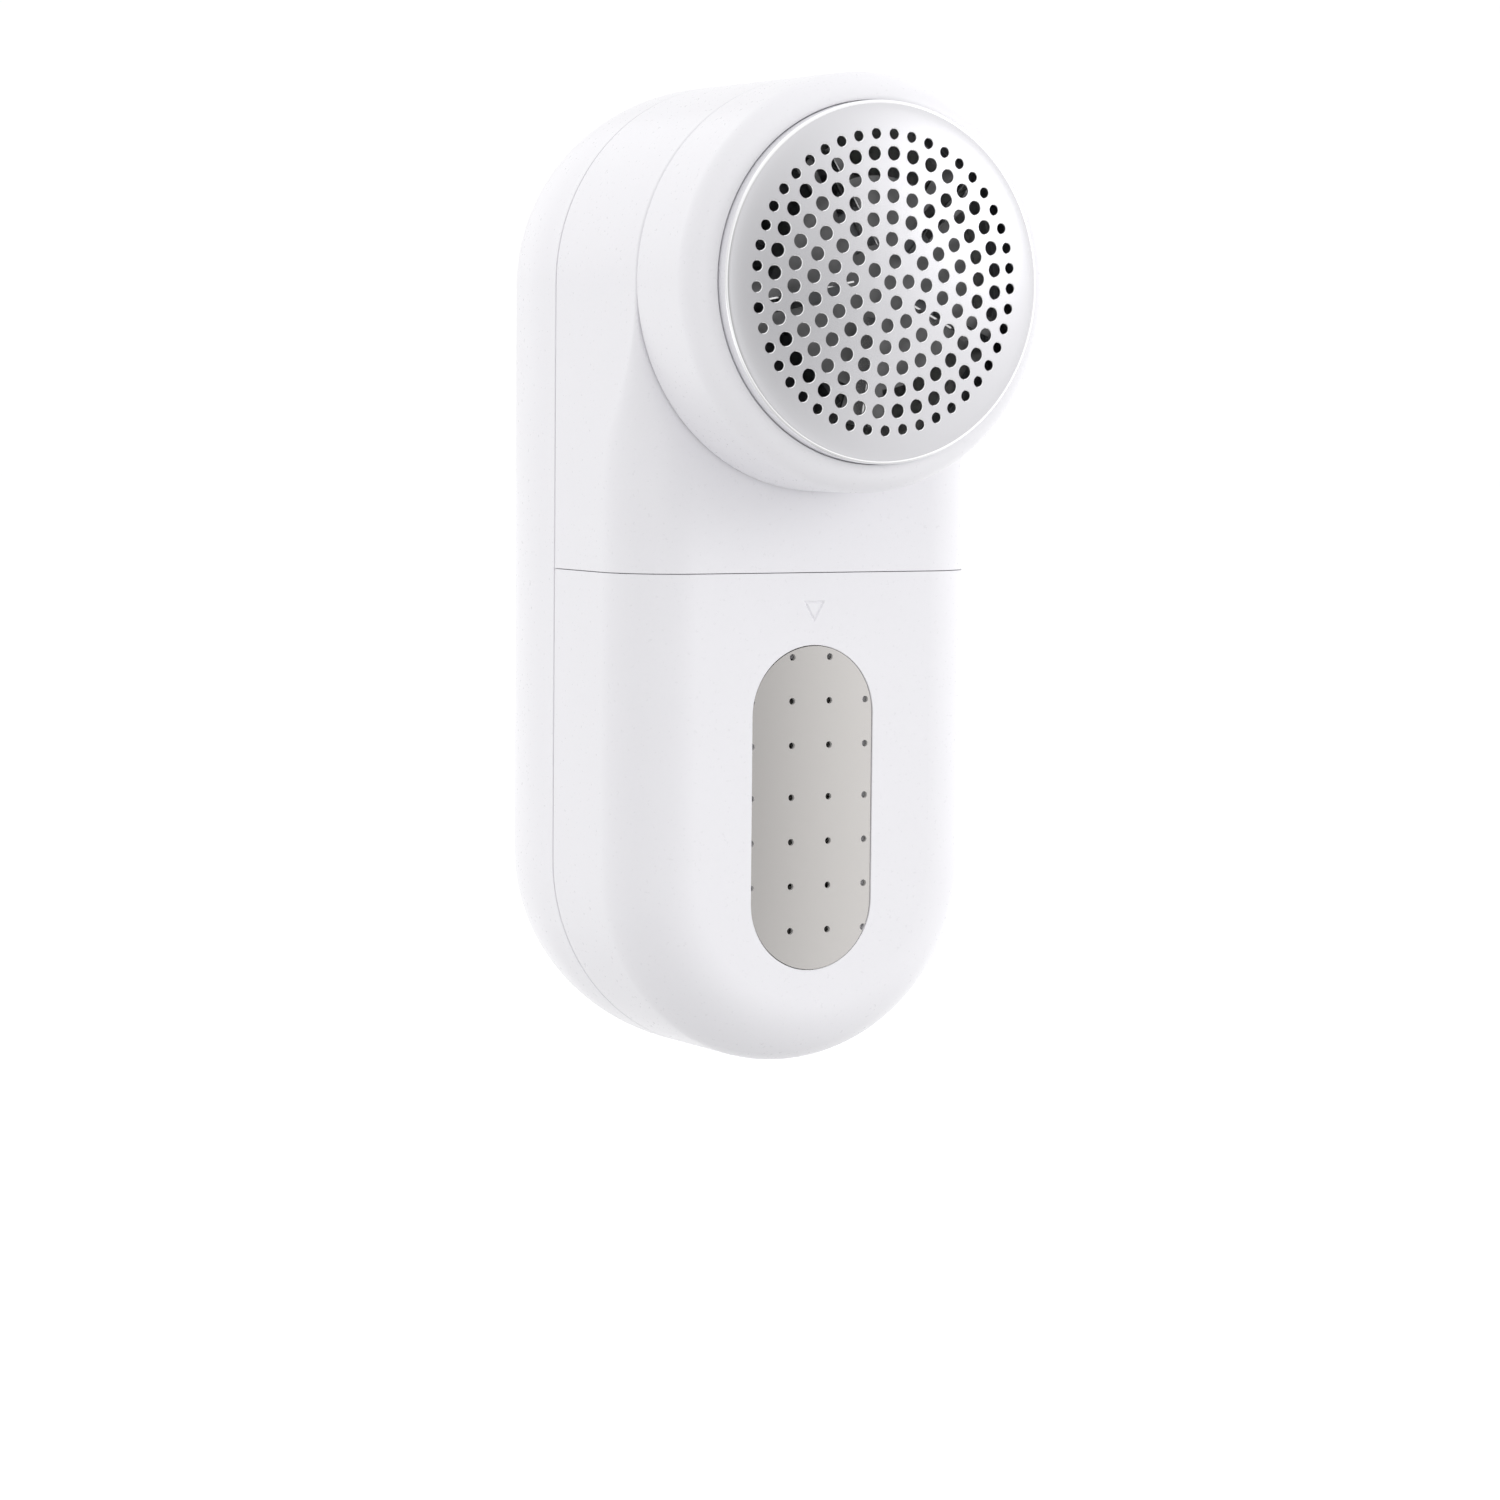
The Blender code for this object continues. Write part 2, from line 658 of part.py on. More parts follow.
def foil_retainer():
    return turned("foil_retainer", ring_profile(0.0252, 0.0271, (-0.00835, -0.00575)), GREY)


# ---------------------------------------------------------------- blade and drive


def polar(radius, degrees, aside=0.0):
    """(x, z) of a point at this radius, moved aside counter-clockwise."""
    across, up = math.cos(math.radians(degrees)), math.sin(math.radians(degrees))
    return (radius * across - aside * up, HEAD_Z + radius * up + aside * across)


def cutter_blade():
    """A star plate whose arms each carry an upright cutting fin along their leading edge."""
    pitch = 360 / BLADE_ARMS
    outline = []
    for arm in range(BLADE_ARMS):
        edge = BLADE_FIRST_EDGE + arm * pitch
        lead, trail = -BLADE_EDGE_OFFSET, BLADE_GAP - BLADE_EDGE_OFFSET
        outline += [polar(BLADE_TIP_RADIUS, edge, lead), polar(BLADE_HUB_RADIUS, edge, lead),
                    polar(BLADE_HUB_RADIUS, edge, trail), polar(BLADE_TIP_RADIUS, edge, trail)]
        waist = (edge + BLADE_TIP_DEGREES, edge + pitch - BLADE_TIP_DEGREES)
        outline.append(polar(BLADE_TIP_RADIUS, waist[0]))
        for i in range(6):
            outline.append(polar(BLADE_WAIST_RADIUS, waist[0] + (waist[1] - waist[0]) * i / 5))
        outline.append(polar(BLADE_TIP_RADIUS, waist[1]))
    plate = flat_mesh("cutter_blade", [outline], BLADE_PLATE_DEPTHS)
    blade = add_part("cutter_blade", plate, STEEL)
    join(blade, *[fin_mesh(BLADE_FIRST_EDGE + arm * pitch) for arm in range(BLADE_ARMS)])
    return blade


def fin_mesh(angle):
    """An upright fin whose cutting edge follows the foil's dome just behind it."""
    root = sum(BLADE_PLATE_DEPTHS) / 2
    front = BLADE_PLATE_DEPTHS[0]
    radii = (BLADE_HUB_RADIUS + BLADE_INSET, BLADE_TIP_RADIUS - BLADE_INSET)
    aside = -BLADE_EDGE_OFFSET - (BLADE_FIN + BLADE_INSET) / 2
    fin = radial_box(angle, radii, (front - BLADE_FIN, root), BLADE_FIN / 2, aside)
    for vertex in fin.vertices:
        if vertex.co.y < y_at(front):
            radius = math.hypot(vertex.co.x, vertex.co.z - HEAD_Z)
            vertex.co.y = y_at(FOIL_EDGE_DEPTH + FOIL_SHEET + CLEARANCE - crown(radius))
    return fin


def blade_carrier():
    """The disc behind the blade, on a sleeve that slides along the shaft."""
    front, back = CARRIER_DEPTHS
    floor = back - 0.0002  # of the blind bore
    profile = [(CARRIER_RADIUS, front), (CARRIER_RADIUS, back), (SLEEVE_RADIUS, back),
               (SLEEVE_RADIUS, SLEEVE_END_DEPTH), (SHAFT_BORE, SLEEVE_END_DEPTH),
               (SHAFT_BORE, floor), (0, floor), (0, front)]
    carrier = turned("blade_carrier", profile, GREY, sides=20)
    open_on_axis(carrier)
    return carrier


def suction_fan():
    front, back = FAN_DEPTHS
    disc = back - FAN_DISC
    profile = [(FAN_HUB_RADIUS, front), (FAN_HUB_RADIUS, disc), (FAN_RADIUS, disc), (FAN_RADIUS, back),
               (SHAFT_BORE, back), (SHAFT_BORE, front)]
    fan = turned("suction_fan", profile, GREY, sides=24)
    blade_depths = (front + 0.0020, disc + FAN_DISC / 3)
    join(fan, *[radial_box(360 * i / FAN_BLADES, FAN_BLADE_RADII, blade_depths, FAN_BLADE_HALF,
                           lean=FAN_BLADE_LEAN) for i in range(FAN_BLADES)])
    return fan


def fan_chamber():
    """The cup behind the blade, whose chute drops the lint into the box below."""
    inner = CHAMBER_RADIUS - CHAMBER_WALL
    floor = (CHAMBER_FLOOR_DEPTH, CHAMBER_FLOOR_DEPTH + CHAMBER_WALL)
    profile = [(CHAMBER_RADIUS, CHAMBER_RIM_DEPTH), (CHAMBER_RADIUS, floor[1]), (0.0036, floor[1]),
               (0.0036, floor[0]), (inner, floor[0]), (inner, CHAMBER_RIM_DEPTH)]
    chamber = turned("fan_chamber", profile, INNER_WHITE, sides=40)
    half = CHUTE_HALF_WIDTH
    chute = box_mesh("chute", (-half, half), CHUTE_DEPTHS, (0.0735, 0.0935))
    posts = [rod_mesh("post", x, z, 0.0026, (0.0208, 0.02525), 12) for x, z in CHAMBER_SCREWS]
    lugs = [radial_box(a, (0.0256, 0.0270), (-0.00335, -0.00215)) for a in LUG_ANGLES]
    join(chamber, chute, *posts, *lugs)
    wall = CHAMBER_WALL
    inside = box_mesh("inside", (wall - half, half - wall),
                      (CHUTE_DEPTHS[0] + wall, CHUTE_DEPTHS[1] - wall), (0.0725, 0.0950))
    holes = [rod_mesh("hole", x, z, SCREW_HOLE, (0.0180, 0.0260), 12)
             for x, z in CHAMBER_SCREWS + MOTOR_SCREWS]
    cut(chamber, inside, *holes)
    return chamber


def chute_seal():
    """A rubber band round the end of the chute."""
    half, (front, back) = CHUTE_HALF_WIDTH + CLEARANCE, CHUTE_DEPTHS
    seal = add_part("chute_seal", box_mesh("chute_seal", (-half - 0.001, half + 0.001),
                                           (front - 0.0013, back + 0.0013), (0.0740, 0.0780)), BLACK)
    cut(seal, box_mesh("inside", (-half, half), (front - CLEARANCE, back + CLEARANCE),
                       (0.0730, 0.0790)))
    return seal


def motor():
    front, back = MOTOR_DEPTHS
    skin = 0.0008
    can = turned("motor_can", [(MOTOR_RADIUS, front), (MOTOR_RADIUS, back),
                               (MOTOR_RADIUS - skin, back), (MOTOR_RADIUS - skin, front + 0.001),
                               (0.0030, front + 0.001), (0.0030, front)], STEEL, sides=28)
    cut(can, *[rod_mesh("hole", x, z, SCREW_HOLE, (0.0215, 0.0236), 12) for x, z in MOTOR_SCREWS])
    turned("motor_bush", ring_profile(SHAFT_BORE, 0.0027, (front - 0.0014, front + 0.0026)), BRASS,
           sides=14)
    cap = MOTOR_RADIUS - skin - CLEARANCE
    turned("motor_end_cap", [(cap, back - 0.0014), (cap, back), (0.0034, back),
                             (0.0034, back + 0.0020), (SHAFT_BORE, back + 0.0020),
                             (SHAFT_BORE, back - 0.0014)], BLACK, sides=24)
    turned("motor_grommet", ring_profile(MOTOR_RADIUS + CLEARANCE, 0.0135, (0.02505, 0.02765)),
           BLACK, sides=28)
    for side, label in ((-1, "left"), (1, "right")):
        x = side * 0.007
        add_part(f"motor_terminal_{label}",
                 box_mesh("terminal", (x - 0.0012, x + 0.0012), (back + 0.0003, back + 0.0024),
                          (HEAD_Z - 0.00025, HEAD_Z + 0.00025)), BRASS)
    capacitor = rod_mesh("capacitor", 0, HEAD_Z + 0.0070, 0.0025, (0.0462, 0.0478), 16)
    add_part("motor_capacitor", capacitor, BRASS)


def drive():
    shaft = turned("motor_shaft", [(0, -0.01325), (SHAFT_RADIUS, -0.01325),
                                   (SHAFT_RADIUS, 0.04745), (0, 0.04745)], STEEL, sides=12)
    open_on_axis(shaft)
    stop = turned("shaft_collar", ring_profile(SHAFT_BORE, 0.0030, (0.00035, 0.00225)), BRASS,
                  sides=14)
    spring = helix("blade_spring", 0, y_at(-0.00145), HEAD_Z, 0.0022, 0.0013, 2, 0.00025, STEEL, "Y")
    return shaft, stop, spring


# ---------------------------------------------------------------- power


def battery_cell(name, x, z_low, nub_up):
    """An AA cell standing on its end, with the raised contact up or down."""
    bm = bmesh.new()
    nub = 0.0010
    body_low = z_low if nub_up else z_low + nub
    nub_z = (z_low + CELL_LENGTH - 0.75 * nub) if nub_up else z_low + 0.75 * nub
    body = Matrix.Translation((x, y_at(CELL_DEPTH), body_low + (CELL_LENGTH - nub) / 2))
    bmesh.ops.create_cone(bm, cap_ends=True, segments=24, radius1=CELL_RADIUS, radius2=CELL_RADIUS,
                          depth=CELL_LENGTH - nub, matrix=body)
    cell = add_part(name, mesh_from(bm, name), CELL_WRAP)
    bm = bmesh.new()
    tip = Matrix.Translation((x, y_at(CELL_DEPTH), nub_z))
    bmesh.ops.create_cone(bm, cap_ends=True, segments=16, radius1=0.0027, radius2=0.0027,
                          depth=1.5 * nub, matrix=tip)
    join(cell, mesh_from(bm, "nub"))
    return cell


def battery_tray():
    tray = add_part("battery_tray", box_mesh("battery_tray", (-0.0162, 0.0162), (0.02945, 0.04125),
                                             (0.0166, 0.0760)), INNER_WHITE)
    cut(tray, box_mesh("room", (-0.0150, 0.0150), (0.03085, 0.0430), (0.0180, 0.0746)))
    return tray


def battery_contacts():
    depths = (0.03225, 0.04525)
    add_part("contact_bridge", box_mesh("contact_bridge", (-0.0140, 0.0140), depths,
                                        (0.0183, 0.0188)), STEEL)
    for side, label in ((-1, "left"), (1, "right")):
        xs = sorted((side * 0.0006, side * 0.0140))
        add_part(f"contact_plate_{label}", box_mesh("contact", xs, depths, (0.0738, 0.0743)), STEEL)
    helix("battery_spring_left", -CELL_X, y_at(CELL_DEPTH), 0.0195, 0.0042, 0.0028, 2.5, 0.00035,
          STEEL)
    helix("battery_spring_right", CELL_X, y_at(CELL_DEPTH), 0.0703, 0.0042, 0.0028, 2.5, 0.00035,
          STEEL)


def battery_door():
    outline = rounded_rectangle(DOOR_HALF_WIDTH, DOOR_Z[0], DOOR_Z[1], 0.0090, 0.0050)
    door = add_part("battery_door", flat_mesh("battery_door", [outline], (0.0492, 0.0510)), WHITE)
    hooks = [box_mesh("hook", (x - 0.0015, x + 0.0015), (0.0470, 0.0495), (0.0175, 0.0195))
             for x in (-0.0060, 0.0060)]
    tongue = box_mesh("tongue", (-0.0040, 0.0040), (0.0480, 0.0495), (0.0745, 0.0770))
    join(door, *hooks, tongue)
    grip = [box_mesh("grip", (-0.0055, 0.0055), (0.0505, 0.0520), (z, z + 0.0006))
            for z in (0.0695, 0.0710, 0.0725)]
    cut(door, *grip)
    return door


def power_switch():
    knob = add_part("switch_knob", flat_mesh("switch_knob", [stadium(0.0048, 0.0068, SWITCH_Z)],
                                             (0.05005, 0.05095)), GREY)
    join(knob, box_mesh("stem", (-0.0015, 0.0015), (0.0490, 0.0503),
                        (SWITCH_Z - 0.0015, SWITCH_Z + 0.0015)))
    ridges = [box_mesh("groove", (-0.0032, 0.0032), (0.0507, 0.0520),
                       (SWITCH_Z + k * 0.0016 - 0.0004, SWITCH_Z + k * 0.0016 + 0.0004))
              for k in (-1, 0, 1)]
    cut(knob, *ridges)
    slider = add_part("switch_slider", box_mesh("switch_slider", (-0.0040, 0.0040),
                                                (0.0482, 0.0487), (SWITCH_Z - 0.0070,
                                                                   SWITCH_Z + 0.0080)), BLACK)
    join(slider, box_mesh("tip", (-0.0010, 0.0010), (0.0464, 0.0484),
                          (SWITCH_Z - 0.0012, SWITCH_Z + 0.0012)))
    body = add_part("switch_body", box_mesh("switch_body", (-0.0060, 0.0060), (0.0430, 0.0472),
                                            (0.0840, 0.0970)), BLACK)
    cut(body, box_mesh("track", (-0.0015, 0.0015), (0.0458, 0.0480),
                       (SWITCH_Z - 0.0018, SWITCH_Z + SWITCH_TRAVEL + 0.0018)))
    return knob, slider


def leads():
    back = MOTOR_DEPTHS[1]
    lead("lead_battery_switch", [(-0.0070, 0.0436, 0.0750), (-0.0068, 0.0440, 0.0780),
                                 (-0.0045, 0.0448, 0.0808), (-0.0030, 0.0450, 0.0832)], RED)
    lead("lead_switch_motor", [(-0.0030, 0.0455, 0.0978), (-0.0034, 0.0462, 0.1000),
                               (-0.0055, back + 0.0014, 0.1040), (-0.0070, back + 0.0014, 0.1090),
                               (-0.0070, back + 0.0014, 0.1140)], RED)
    lead("lead_motor_battery", [(0.0070, back + 0.0014, 0.1140), (0.0078, back + 0.0014, 0.1080),
                                (0.0092, back + 0.0012, 0.1010), (0.0095, 0.0452, 0.0930),
                                (0.0090, 0.0442, 0.0840), (0.0070, 0.0436, 0.0750)], BLUE)


def screws():
    corners = ("upper_left", "upper_right", "lower_left", "lower_right")
    for label, (x, z) in zip(corners, FRAME_SCREWS):
        screw(f"frame_screw_{label}", x, z, FRAME_DEPTHS[0] - CLEARANCE, 0.0100)
    for label, (x, z) in zip(("left", "right"), HOUSING_SCREWS):
        screw(f"housing_screw_{label}", x, z, FRAME_DEPTHS[1] + CLEARANCE, 0.0090, backwards=False)
    for label, (x, z) in zip(("left", "right"), CHAMBER_SCREWS):
        screw(f"chamber_screw_{label}", x, z, CHAMBER_FLOOR_DEPTH - CLEARANCE, 0.0070)
    for label, (x, z) in zip(("lower", "upper"), MOTOR_SCREWS):
        screw(f"motor_screw_{label}", x, z, CHAMBER_FLOOR_DEPTH - CLEARANCE, 0.0040)


def build():
    front_housing()
    rear_housing()
    inner_frame()
    fan_chamber()
    chute_seal()
    motor()
    battery_tray()
    battery_contacts()
    battery_cell("battery_cell_left", -CELL_X, 0.0229, True)
    battery_cell("battery_cell_right", CELL_X, 0.0191, False)
    leads()
    screws()

    box = lint_box()
    open_mark(box)
    back, vents = lint_box_back(), vent_plate()
    lint_filter()
    carry(pivot("lint_box_slide", 0, FRONT_Y, WINDOW_Z), box, back, vents,
          bpy.data.objects["filter_frame"], bpy.data.objects["filter_screen"])
    carry(pivot("head_twist", 0, FRONT_Y, HEAD_Z), head_collar(), shaving_foil(), foil_retainer())
    spin = pivot("blade_spin", 0, FRONT_Y, HEAD_Z)
    carry(spin, *drive(), suction_fan())
    floating = pivot("blade_float", 0, y_at(BLADE_PLATE_DEPTHS[0]), HEAD_Z)
    carry(floating, cutter_blade(), blade_carrier())
    carry(spin, floating)
    carry(pivot("battery_door_hinge", 0, y_at(BODY_DEPTH), DOOR_Z[0] + 0.0003),
          battery_door())
    carry(pivot("power_switch_slide", 0, y_at(BODY_DEPTH), SWITCH_Z), *power_switch())


clear_scene()
parts = new_collection("fabric_shaver")
cutters = new_collection("cutters")
build()
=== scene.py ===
"""Looks of the fabric shaver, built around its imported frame.

Metres, +Z up, the foil faces -Y. Depths are measured backwards from the body's flat front face.
"""

import json
import math

import bmesh
import bpy
from mathutils import Matrix, Vector
from mathutils.geometry import delaunay_2d_cdt


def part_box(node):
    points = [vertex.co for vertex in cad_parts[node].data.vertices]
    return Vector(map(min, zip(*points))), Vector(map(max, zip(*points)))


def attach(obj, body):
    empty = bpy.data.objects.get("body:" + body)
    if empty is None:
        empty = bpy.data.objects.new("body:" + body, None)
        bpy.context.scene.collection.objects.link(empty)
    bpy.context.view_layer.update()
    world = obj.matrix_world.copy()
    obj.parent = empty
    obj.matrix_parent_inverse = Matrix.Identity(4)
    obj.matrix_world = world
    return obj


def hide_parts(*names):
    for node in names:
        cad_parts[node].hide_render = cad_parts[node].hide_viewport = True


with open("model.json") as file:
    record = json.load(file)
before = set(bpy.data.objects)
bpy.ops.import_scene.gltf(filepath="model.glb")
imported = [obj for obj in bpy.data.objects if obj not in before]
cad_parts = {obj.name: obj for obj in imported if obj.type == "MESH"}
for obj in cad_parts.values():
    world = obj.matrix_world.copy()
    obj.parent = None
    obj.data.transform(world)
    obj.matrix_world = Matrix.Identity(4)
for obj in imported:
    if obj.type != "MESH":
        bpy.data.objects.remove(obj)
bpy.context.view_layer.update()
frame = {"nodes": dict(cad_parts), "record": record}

JOINTS = {joint["name"]: joint for joint in frame["record"]["behaviour"]["joints"]}

# Sizes read from the frame
_, FRONT_Y, HEAD_Z = JOINTS["head_twist"]["pos_m"]
HALF_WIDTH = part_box("rear_housing")[1].x
FOOT_Z = HALF_WIDTH
BODY_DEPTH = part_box("rear_housing")[1].y - FRONT_Y
FRONT_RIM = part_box("lint_box")[1].y - FRONT_Y
REAR_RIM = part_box("rear_housing")[0].y - FRONT_Y
SEAM_Z = (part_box("front_housing")[0].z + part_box("lint_box")[1].z) / 2
SEAM_GAP = 0.00010
HOUSING_LOW = SEAM_Z + SEAM_GAP / 2
LINT_TOP = SEAM_Z - SEAM_GAP / 2
WINDOW_Z = (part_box("vent_plate")[0].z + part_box("vent_plate")[1].z) / 2
VENT_CLEARANCE = 0.0003
WINDOW_HALF_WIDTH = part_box("vent_plate")[1].x + VENT_CLEARANCE
WINDOW_HALF_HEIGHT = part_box("vent_plate")[1].z - WINDOW_Z + VENT_CLEARANCE
FOIL_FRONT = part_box("shaving_foil")[0].y - FRONT_Y
FOIL_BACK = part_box("shaving_foil")[1].y - FRONT_Y
FOIL_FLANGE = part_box("shaving_foil")[1].x
COLLAR_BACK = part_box("head_collar")[1].y - FRONT_Y
COLLAR_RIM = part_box("head_collar")[0].y - FRONT_Y
DOOR_HALF_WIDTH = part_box("battery_door")[1].x
DOOR_LOW, DOOR_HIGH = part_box("battery_door")[0].z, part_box("battery_door")[1].z
KNOB_Z = (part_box("switch_knob")[0].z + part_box("switch_knob")[1].z) / 2
KNOB_HALF_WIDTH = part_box("switch_knob")[1].x
KNOB_HALF_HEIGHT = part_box("switch_knob")[1].z - KNOB_Z

# Housings
WALL = 0.0020
FRONT_ROUNDING = 0.0100
HEAD_EDGE = 0.0004
INNER_EDGE = 0.0003
ROUNDING_BLEND = 4  # a higher power blends the two roundings of the front edge more sharply
REAR_STRIP = 0.0045
REAR_CORNER_ACROSS = 0.0115
GUARD = 0.0002  # a flat face has a ring of points this far inside its edge, so it shades flat
HEAD_OPENING = 0.0266
POCKET_DEPTH = 0.0011
LEDGE = 0.0015
LINT_STRAIGHT_Z = 0.0500
FRONT_SOFTNESS = 0.00009
REAR_SOFTNESS = 0.00018
MARK = ((-0.00185, 0.0690), (0.00185, 0.0690), (0.0, 0.0657))
MARK_GROOVE = ((1.0, 0.0), (0.80, 0.00024), (0.60, 0.0))  # (share of the mark's size, depth)

# Head
FOIL_RADIUS = 0.02578
FOIL_CROWN = 0.00165
FOIL_EDGE = FOIL_FRONT + FOIL_CROWN  # depth of the dome's edge
FOIL_SHEET = 0.0003
FOIL_FLANGE_SHEET = 0.0004
FOIL_CORNER = 0.00045
CROWN_RADIUS = 0.0250
DOME_RINGS = (0.0223, 0.0229, 0.0235, 0.0241, 0.0246, 0.0251)  # extra points past the last holes
HOLE_RING_RADIUS = 0.0210
LARGE_HOLE, LARGE_HOLE_SIDES = 0.0010, 24
SMALL_HOLE, SMALL_HOLE_SIDES = 0.00075, 18
HOLE_CHAMFER = 0.00009
HOLE_RINGS = (  # (share of the outer ring's radius, holes, angle of the first hole)
    (0.1457, 5, 2.8), (0.291, 12, 27.2), (0.437, 18, 7.0), (0.583, 24, 11.8),
    (0.728, 30, 2.8), (0.870, 36, 6.7), (1.0, 45, 6.7))
COLLAR_BORE = 0.02585
COLLAR_SKIRT_BORE = 0.0274
COLLAR_SKIRT_FRONT = -0.00935
COLLAR_ROUNDING = 0.00445
COLLAR_ROUNDING_DEGREES = 84
COLLAR_FILLET = 0.0003
COLLAR_SOFTNESS = 0.00016

# Blade
BLADE_ARMS = 5
BLADE_FIRST_EDGE = 119.5
BLADE_DEPTHS = (-0.0166, -0.0161)
BLADE_HUB = 0.0050
BLADE_WAIST = 0.0152
BLADE_TIP = 0.0205
BLADE_TIP_DEGREES = 11
BLADE_OFFSET = 0.0009
BLADE_GAP = 0.0020
KNIFE = 0.00024
KNIFE_START = BLADE_HUB + 0.0004
KNIFE_OFFSET = BLADE_OFFSET + 0.0001
KNIFE_CLEARANCE = 0.0004
KNIFE_BEVEL = 0.00012

# Vent plate
VENT_GAP = 0.00009
VENT_RADIUS = 0.0005
VENT_COLUMNS = (-0.0102, -0.00362, 0.00266, 0.00893)
VENT_ROWS = (0.02224, 0.01581, 0.00928, 0.00165, -0.00491, -0.01147, -0.01804)
VENT_DEPTHS = (0.00022, 0.0008)
VENT_SOFTNESS = 0.00004
VENT_BULGE = 0.00035
BULGE_CUTS = [i * 0.001 + 0.0003 for i in range(-9, 10)]

# Back
DOOR_LOW_RADIUS, DOOR_HIGH_RADIUS = 0.0090, 0.0050
DOOR_GAP = 0.00016
DOOR_THICKNESS = 0.0018
DOOR_SOFTNESS = 0.0002
FITTING_ROOT = 0.0003  # how far the door's fittings sink into it
HOOKS_X, HOOK_HALF_WIDTH, HOOK_REACH, HOOK_RISE = (-0.0060, 0.0060), 0.0015, 0.0022, (0.0015, 0.0035)
TONGUE_HALF_WIDTH, TONGUE_REACH, TONGUE_DROP = 0.0040, 0.0012, (0.0030, 0.0005)
RIBS_X, RIB_HALF_WIDTH, RIB_REACH, RIB_ENDS = (-0.0140, 0.0, 0.0140), 0.0004, 0.0005, (0.0110, 0.0080)
GRIP_HEIGHTS = (0.0690, 0.0705, 0.0720, 0.0735)
GRIP_HALF_LENGTH, GRIP_RADIUS, GRIP_DEPTH = 0.0065, 0.00035, 0.0005
KNOB_TOP, KNOB_FOOT = 0.00005, 0.00095  # how far below the back's face
KNOB_SOFTNESS = 0.00012
KNOB_STEM, KNOB_STEM_DEPTHS = 0.0015, (0.0020, 0.0008)
KNOB_GROOVES, KNOB_GROOVE_STEP = 5, 0.0014
KNOB_GROOVE_HALF_LENGTH, KNOB_GROOVE_RADIUS, KNOB_GROOVE_DEPTH = 0.0030, 0.0003, 0.0004
WELL_HALF_WIDTH, WELL_HALF_HEIGHT, WELL_DEPTH = 0.0070, 0.0115, 0.0012
SLOT_HALF_WIDTH, SLOT_HALF_HEIGHT = 0.0022, 0.0034
CUTTER_RISE = 0.0010  # how far a cutting shape stands out of the face that it cuts

# Camera
AIM = Vector((-0.0107, -0.0154, 0.0474))
DISTANCE = 0.6487
AZIMUTH, ELEVATION, ROLL = -29.526, 4.565, 0.513
LENS = 106.93

# Studio
STUDIO_LIGHT = 0.955
STUDIO_LOBES = (  # (azimuth, elevation, inner degrees, outer degrees, change of light)
    (152, -3, 14, 40, 0.07), (72, 12, 15, 46, 0.27), (0, 90, 20, 65, 0.16),
    (2, -6, 8, 32, -0.52), (-95, 0, 10, 50, -0.15))
SOFTBOXES = (  # (name, azimuth, elevation, size, power)
    ("key", 52, 20, 0.6, 2.1), ("rear_left", -165, 25, 1.0, 0.9), ("rear_right", 115, 20, 1.0, 0.2))
SOFTBOX_DISTANCE = 1.2

# Floor: a wide disc that lies mostly behind the object, so the metals reflect little of it
FLOOR_Z = -0.30
FLOOR_RADIUS = 14.0
FLOOR_MIDDLE = Vector((6.5, 11.3, FLOOR_Z))
# Within this reach of the point below the object the floor's colour and glow are painted darker, down to
# the darkest value: a painted shadow.
FLOOR_PAINTED_SHADOW_REACH = (0.15, 0.95)
FLOOR_PAINTED_SHADOW_DARKEST, FLOOR_PALEST = 0.50, 0.95
FLOOR_FADE = 2.0

# Finishes
BROAD_GRAIN = 90.0
NOISE_SPAN = (0.3, 0.7)  # where most of a noise pattern's values lie

# Smoothness of round shapes
SIDES = 160
STADIUM_STEPS = 48
VENT_SIDES = 28


def at(depth):
    """Y at this depth behind the body's front face."""
    return FRONT_Y + depth


# ---------------------------------------------------------------- outlines


def circle(radius, sides, x=0.0, z=0.0, first=0.0):
    angles = [math.radians(first) + 2 * math.pi * i / sides for i in range(sides)]
    return [(x + radius * math.cos(a), z + radius * math.sin(a)) for a in angles]


def stadium(half_width, half_height, z, steps=32):
    rise = half_height - half_width
    points = []
    for centre, start in ((z + rise, 0.0), (z - rise, math.pi)):
        for i in range(steps + 1):
            angle = start + math.pi * i / steps
            points.append((half_width * math.cos(angle), centre + half_width * math.sin(angle)))
    return points


def rounded_rectangle(half_width, z_low, z_high, low_radius, high_radius, steps=12):
    corners = (
        (half_width - high_radius, z_high - high_radius, high_radius, 0),
        (high_radius - half_width, z_high - high_radius, high_radius, 90),
        (low_radius - half_width, z_low + low_radius, low_radius, 180),
        (half_width - low_radius, z_low + low_radius, low_radius, 270),
    )
    points = []
    for x, z, radius, start in corners:
        for i in range(steps + 1):
            angle = math.radians(start + 90 * i / steps)
            points.append((x + radius * math.cos(angle), z + radius * math.sin(angle)))
    return points


# ---------------------------------------------------------------- mesh building


def ring(bm, outline, depth):
    return [bm.verts.new((x, at(depth), z)) for x, z in outline]


def strip(bm, first, second, closed=True):
    count = len(first) if closed else len(first) - 1
    for i in range(count):
        j = (i + 1) % len(first)
        bm.faces.new((first[i], first[j], second[j], second[i]))


def encloses(outline, x, z):
    """True if the point lies inside the outline."""
    inside = False
    for (x0, z0), (x1, z1) in zip(outline, outline[1:] + outline[:1]):
        if (z0 > z) != (z1 > z) and x < x0 + (x1 - x0) * (z - z0) / (z1 - z0):
            inside = not inside
    return inside


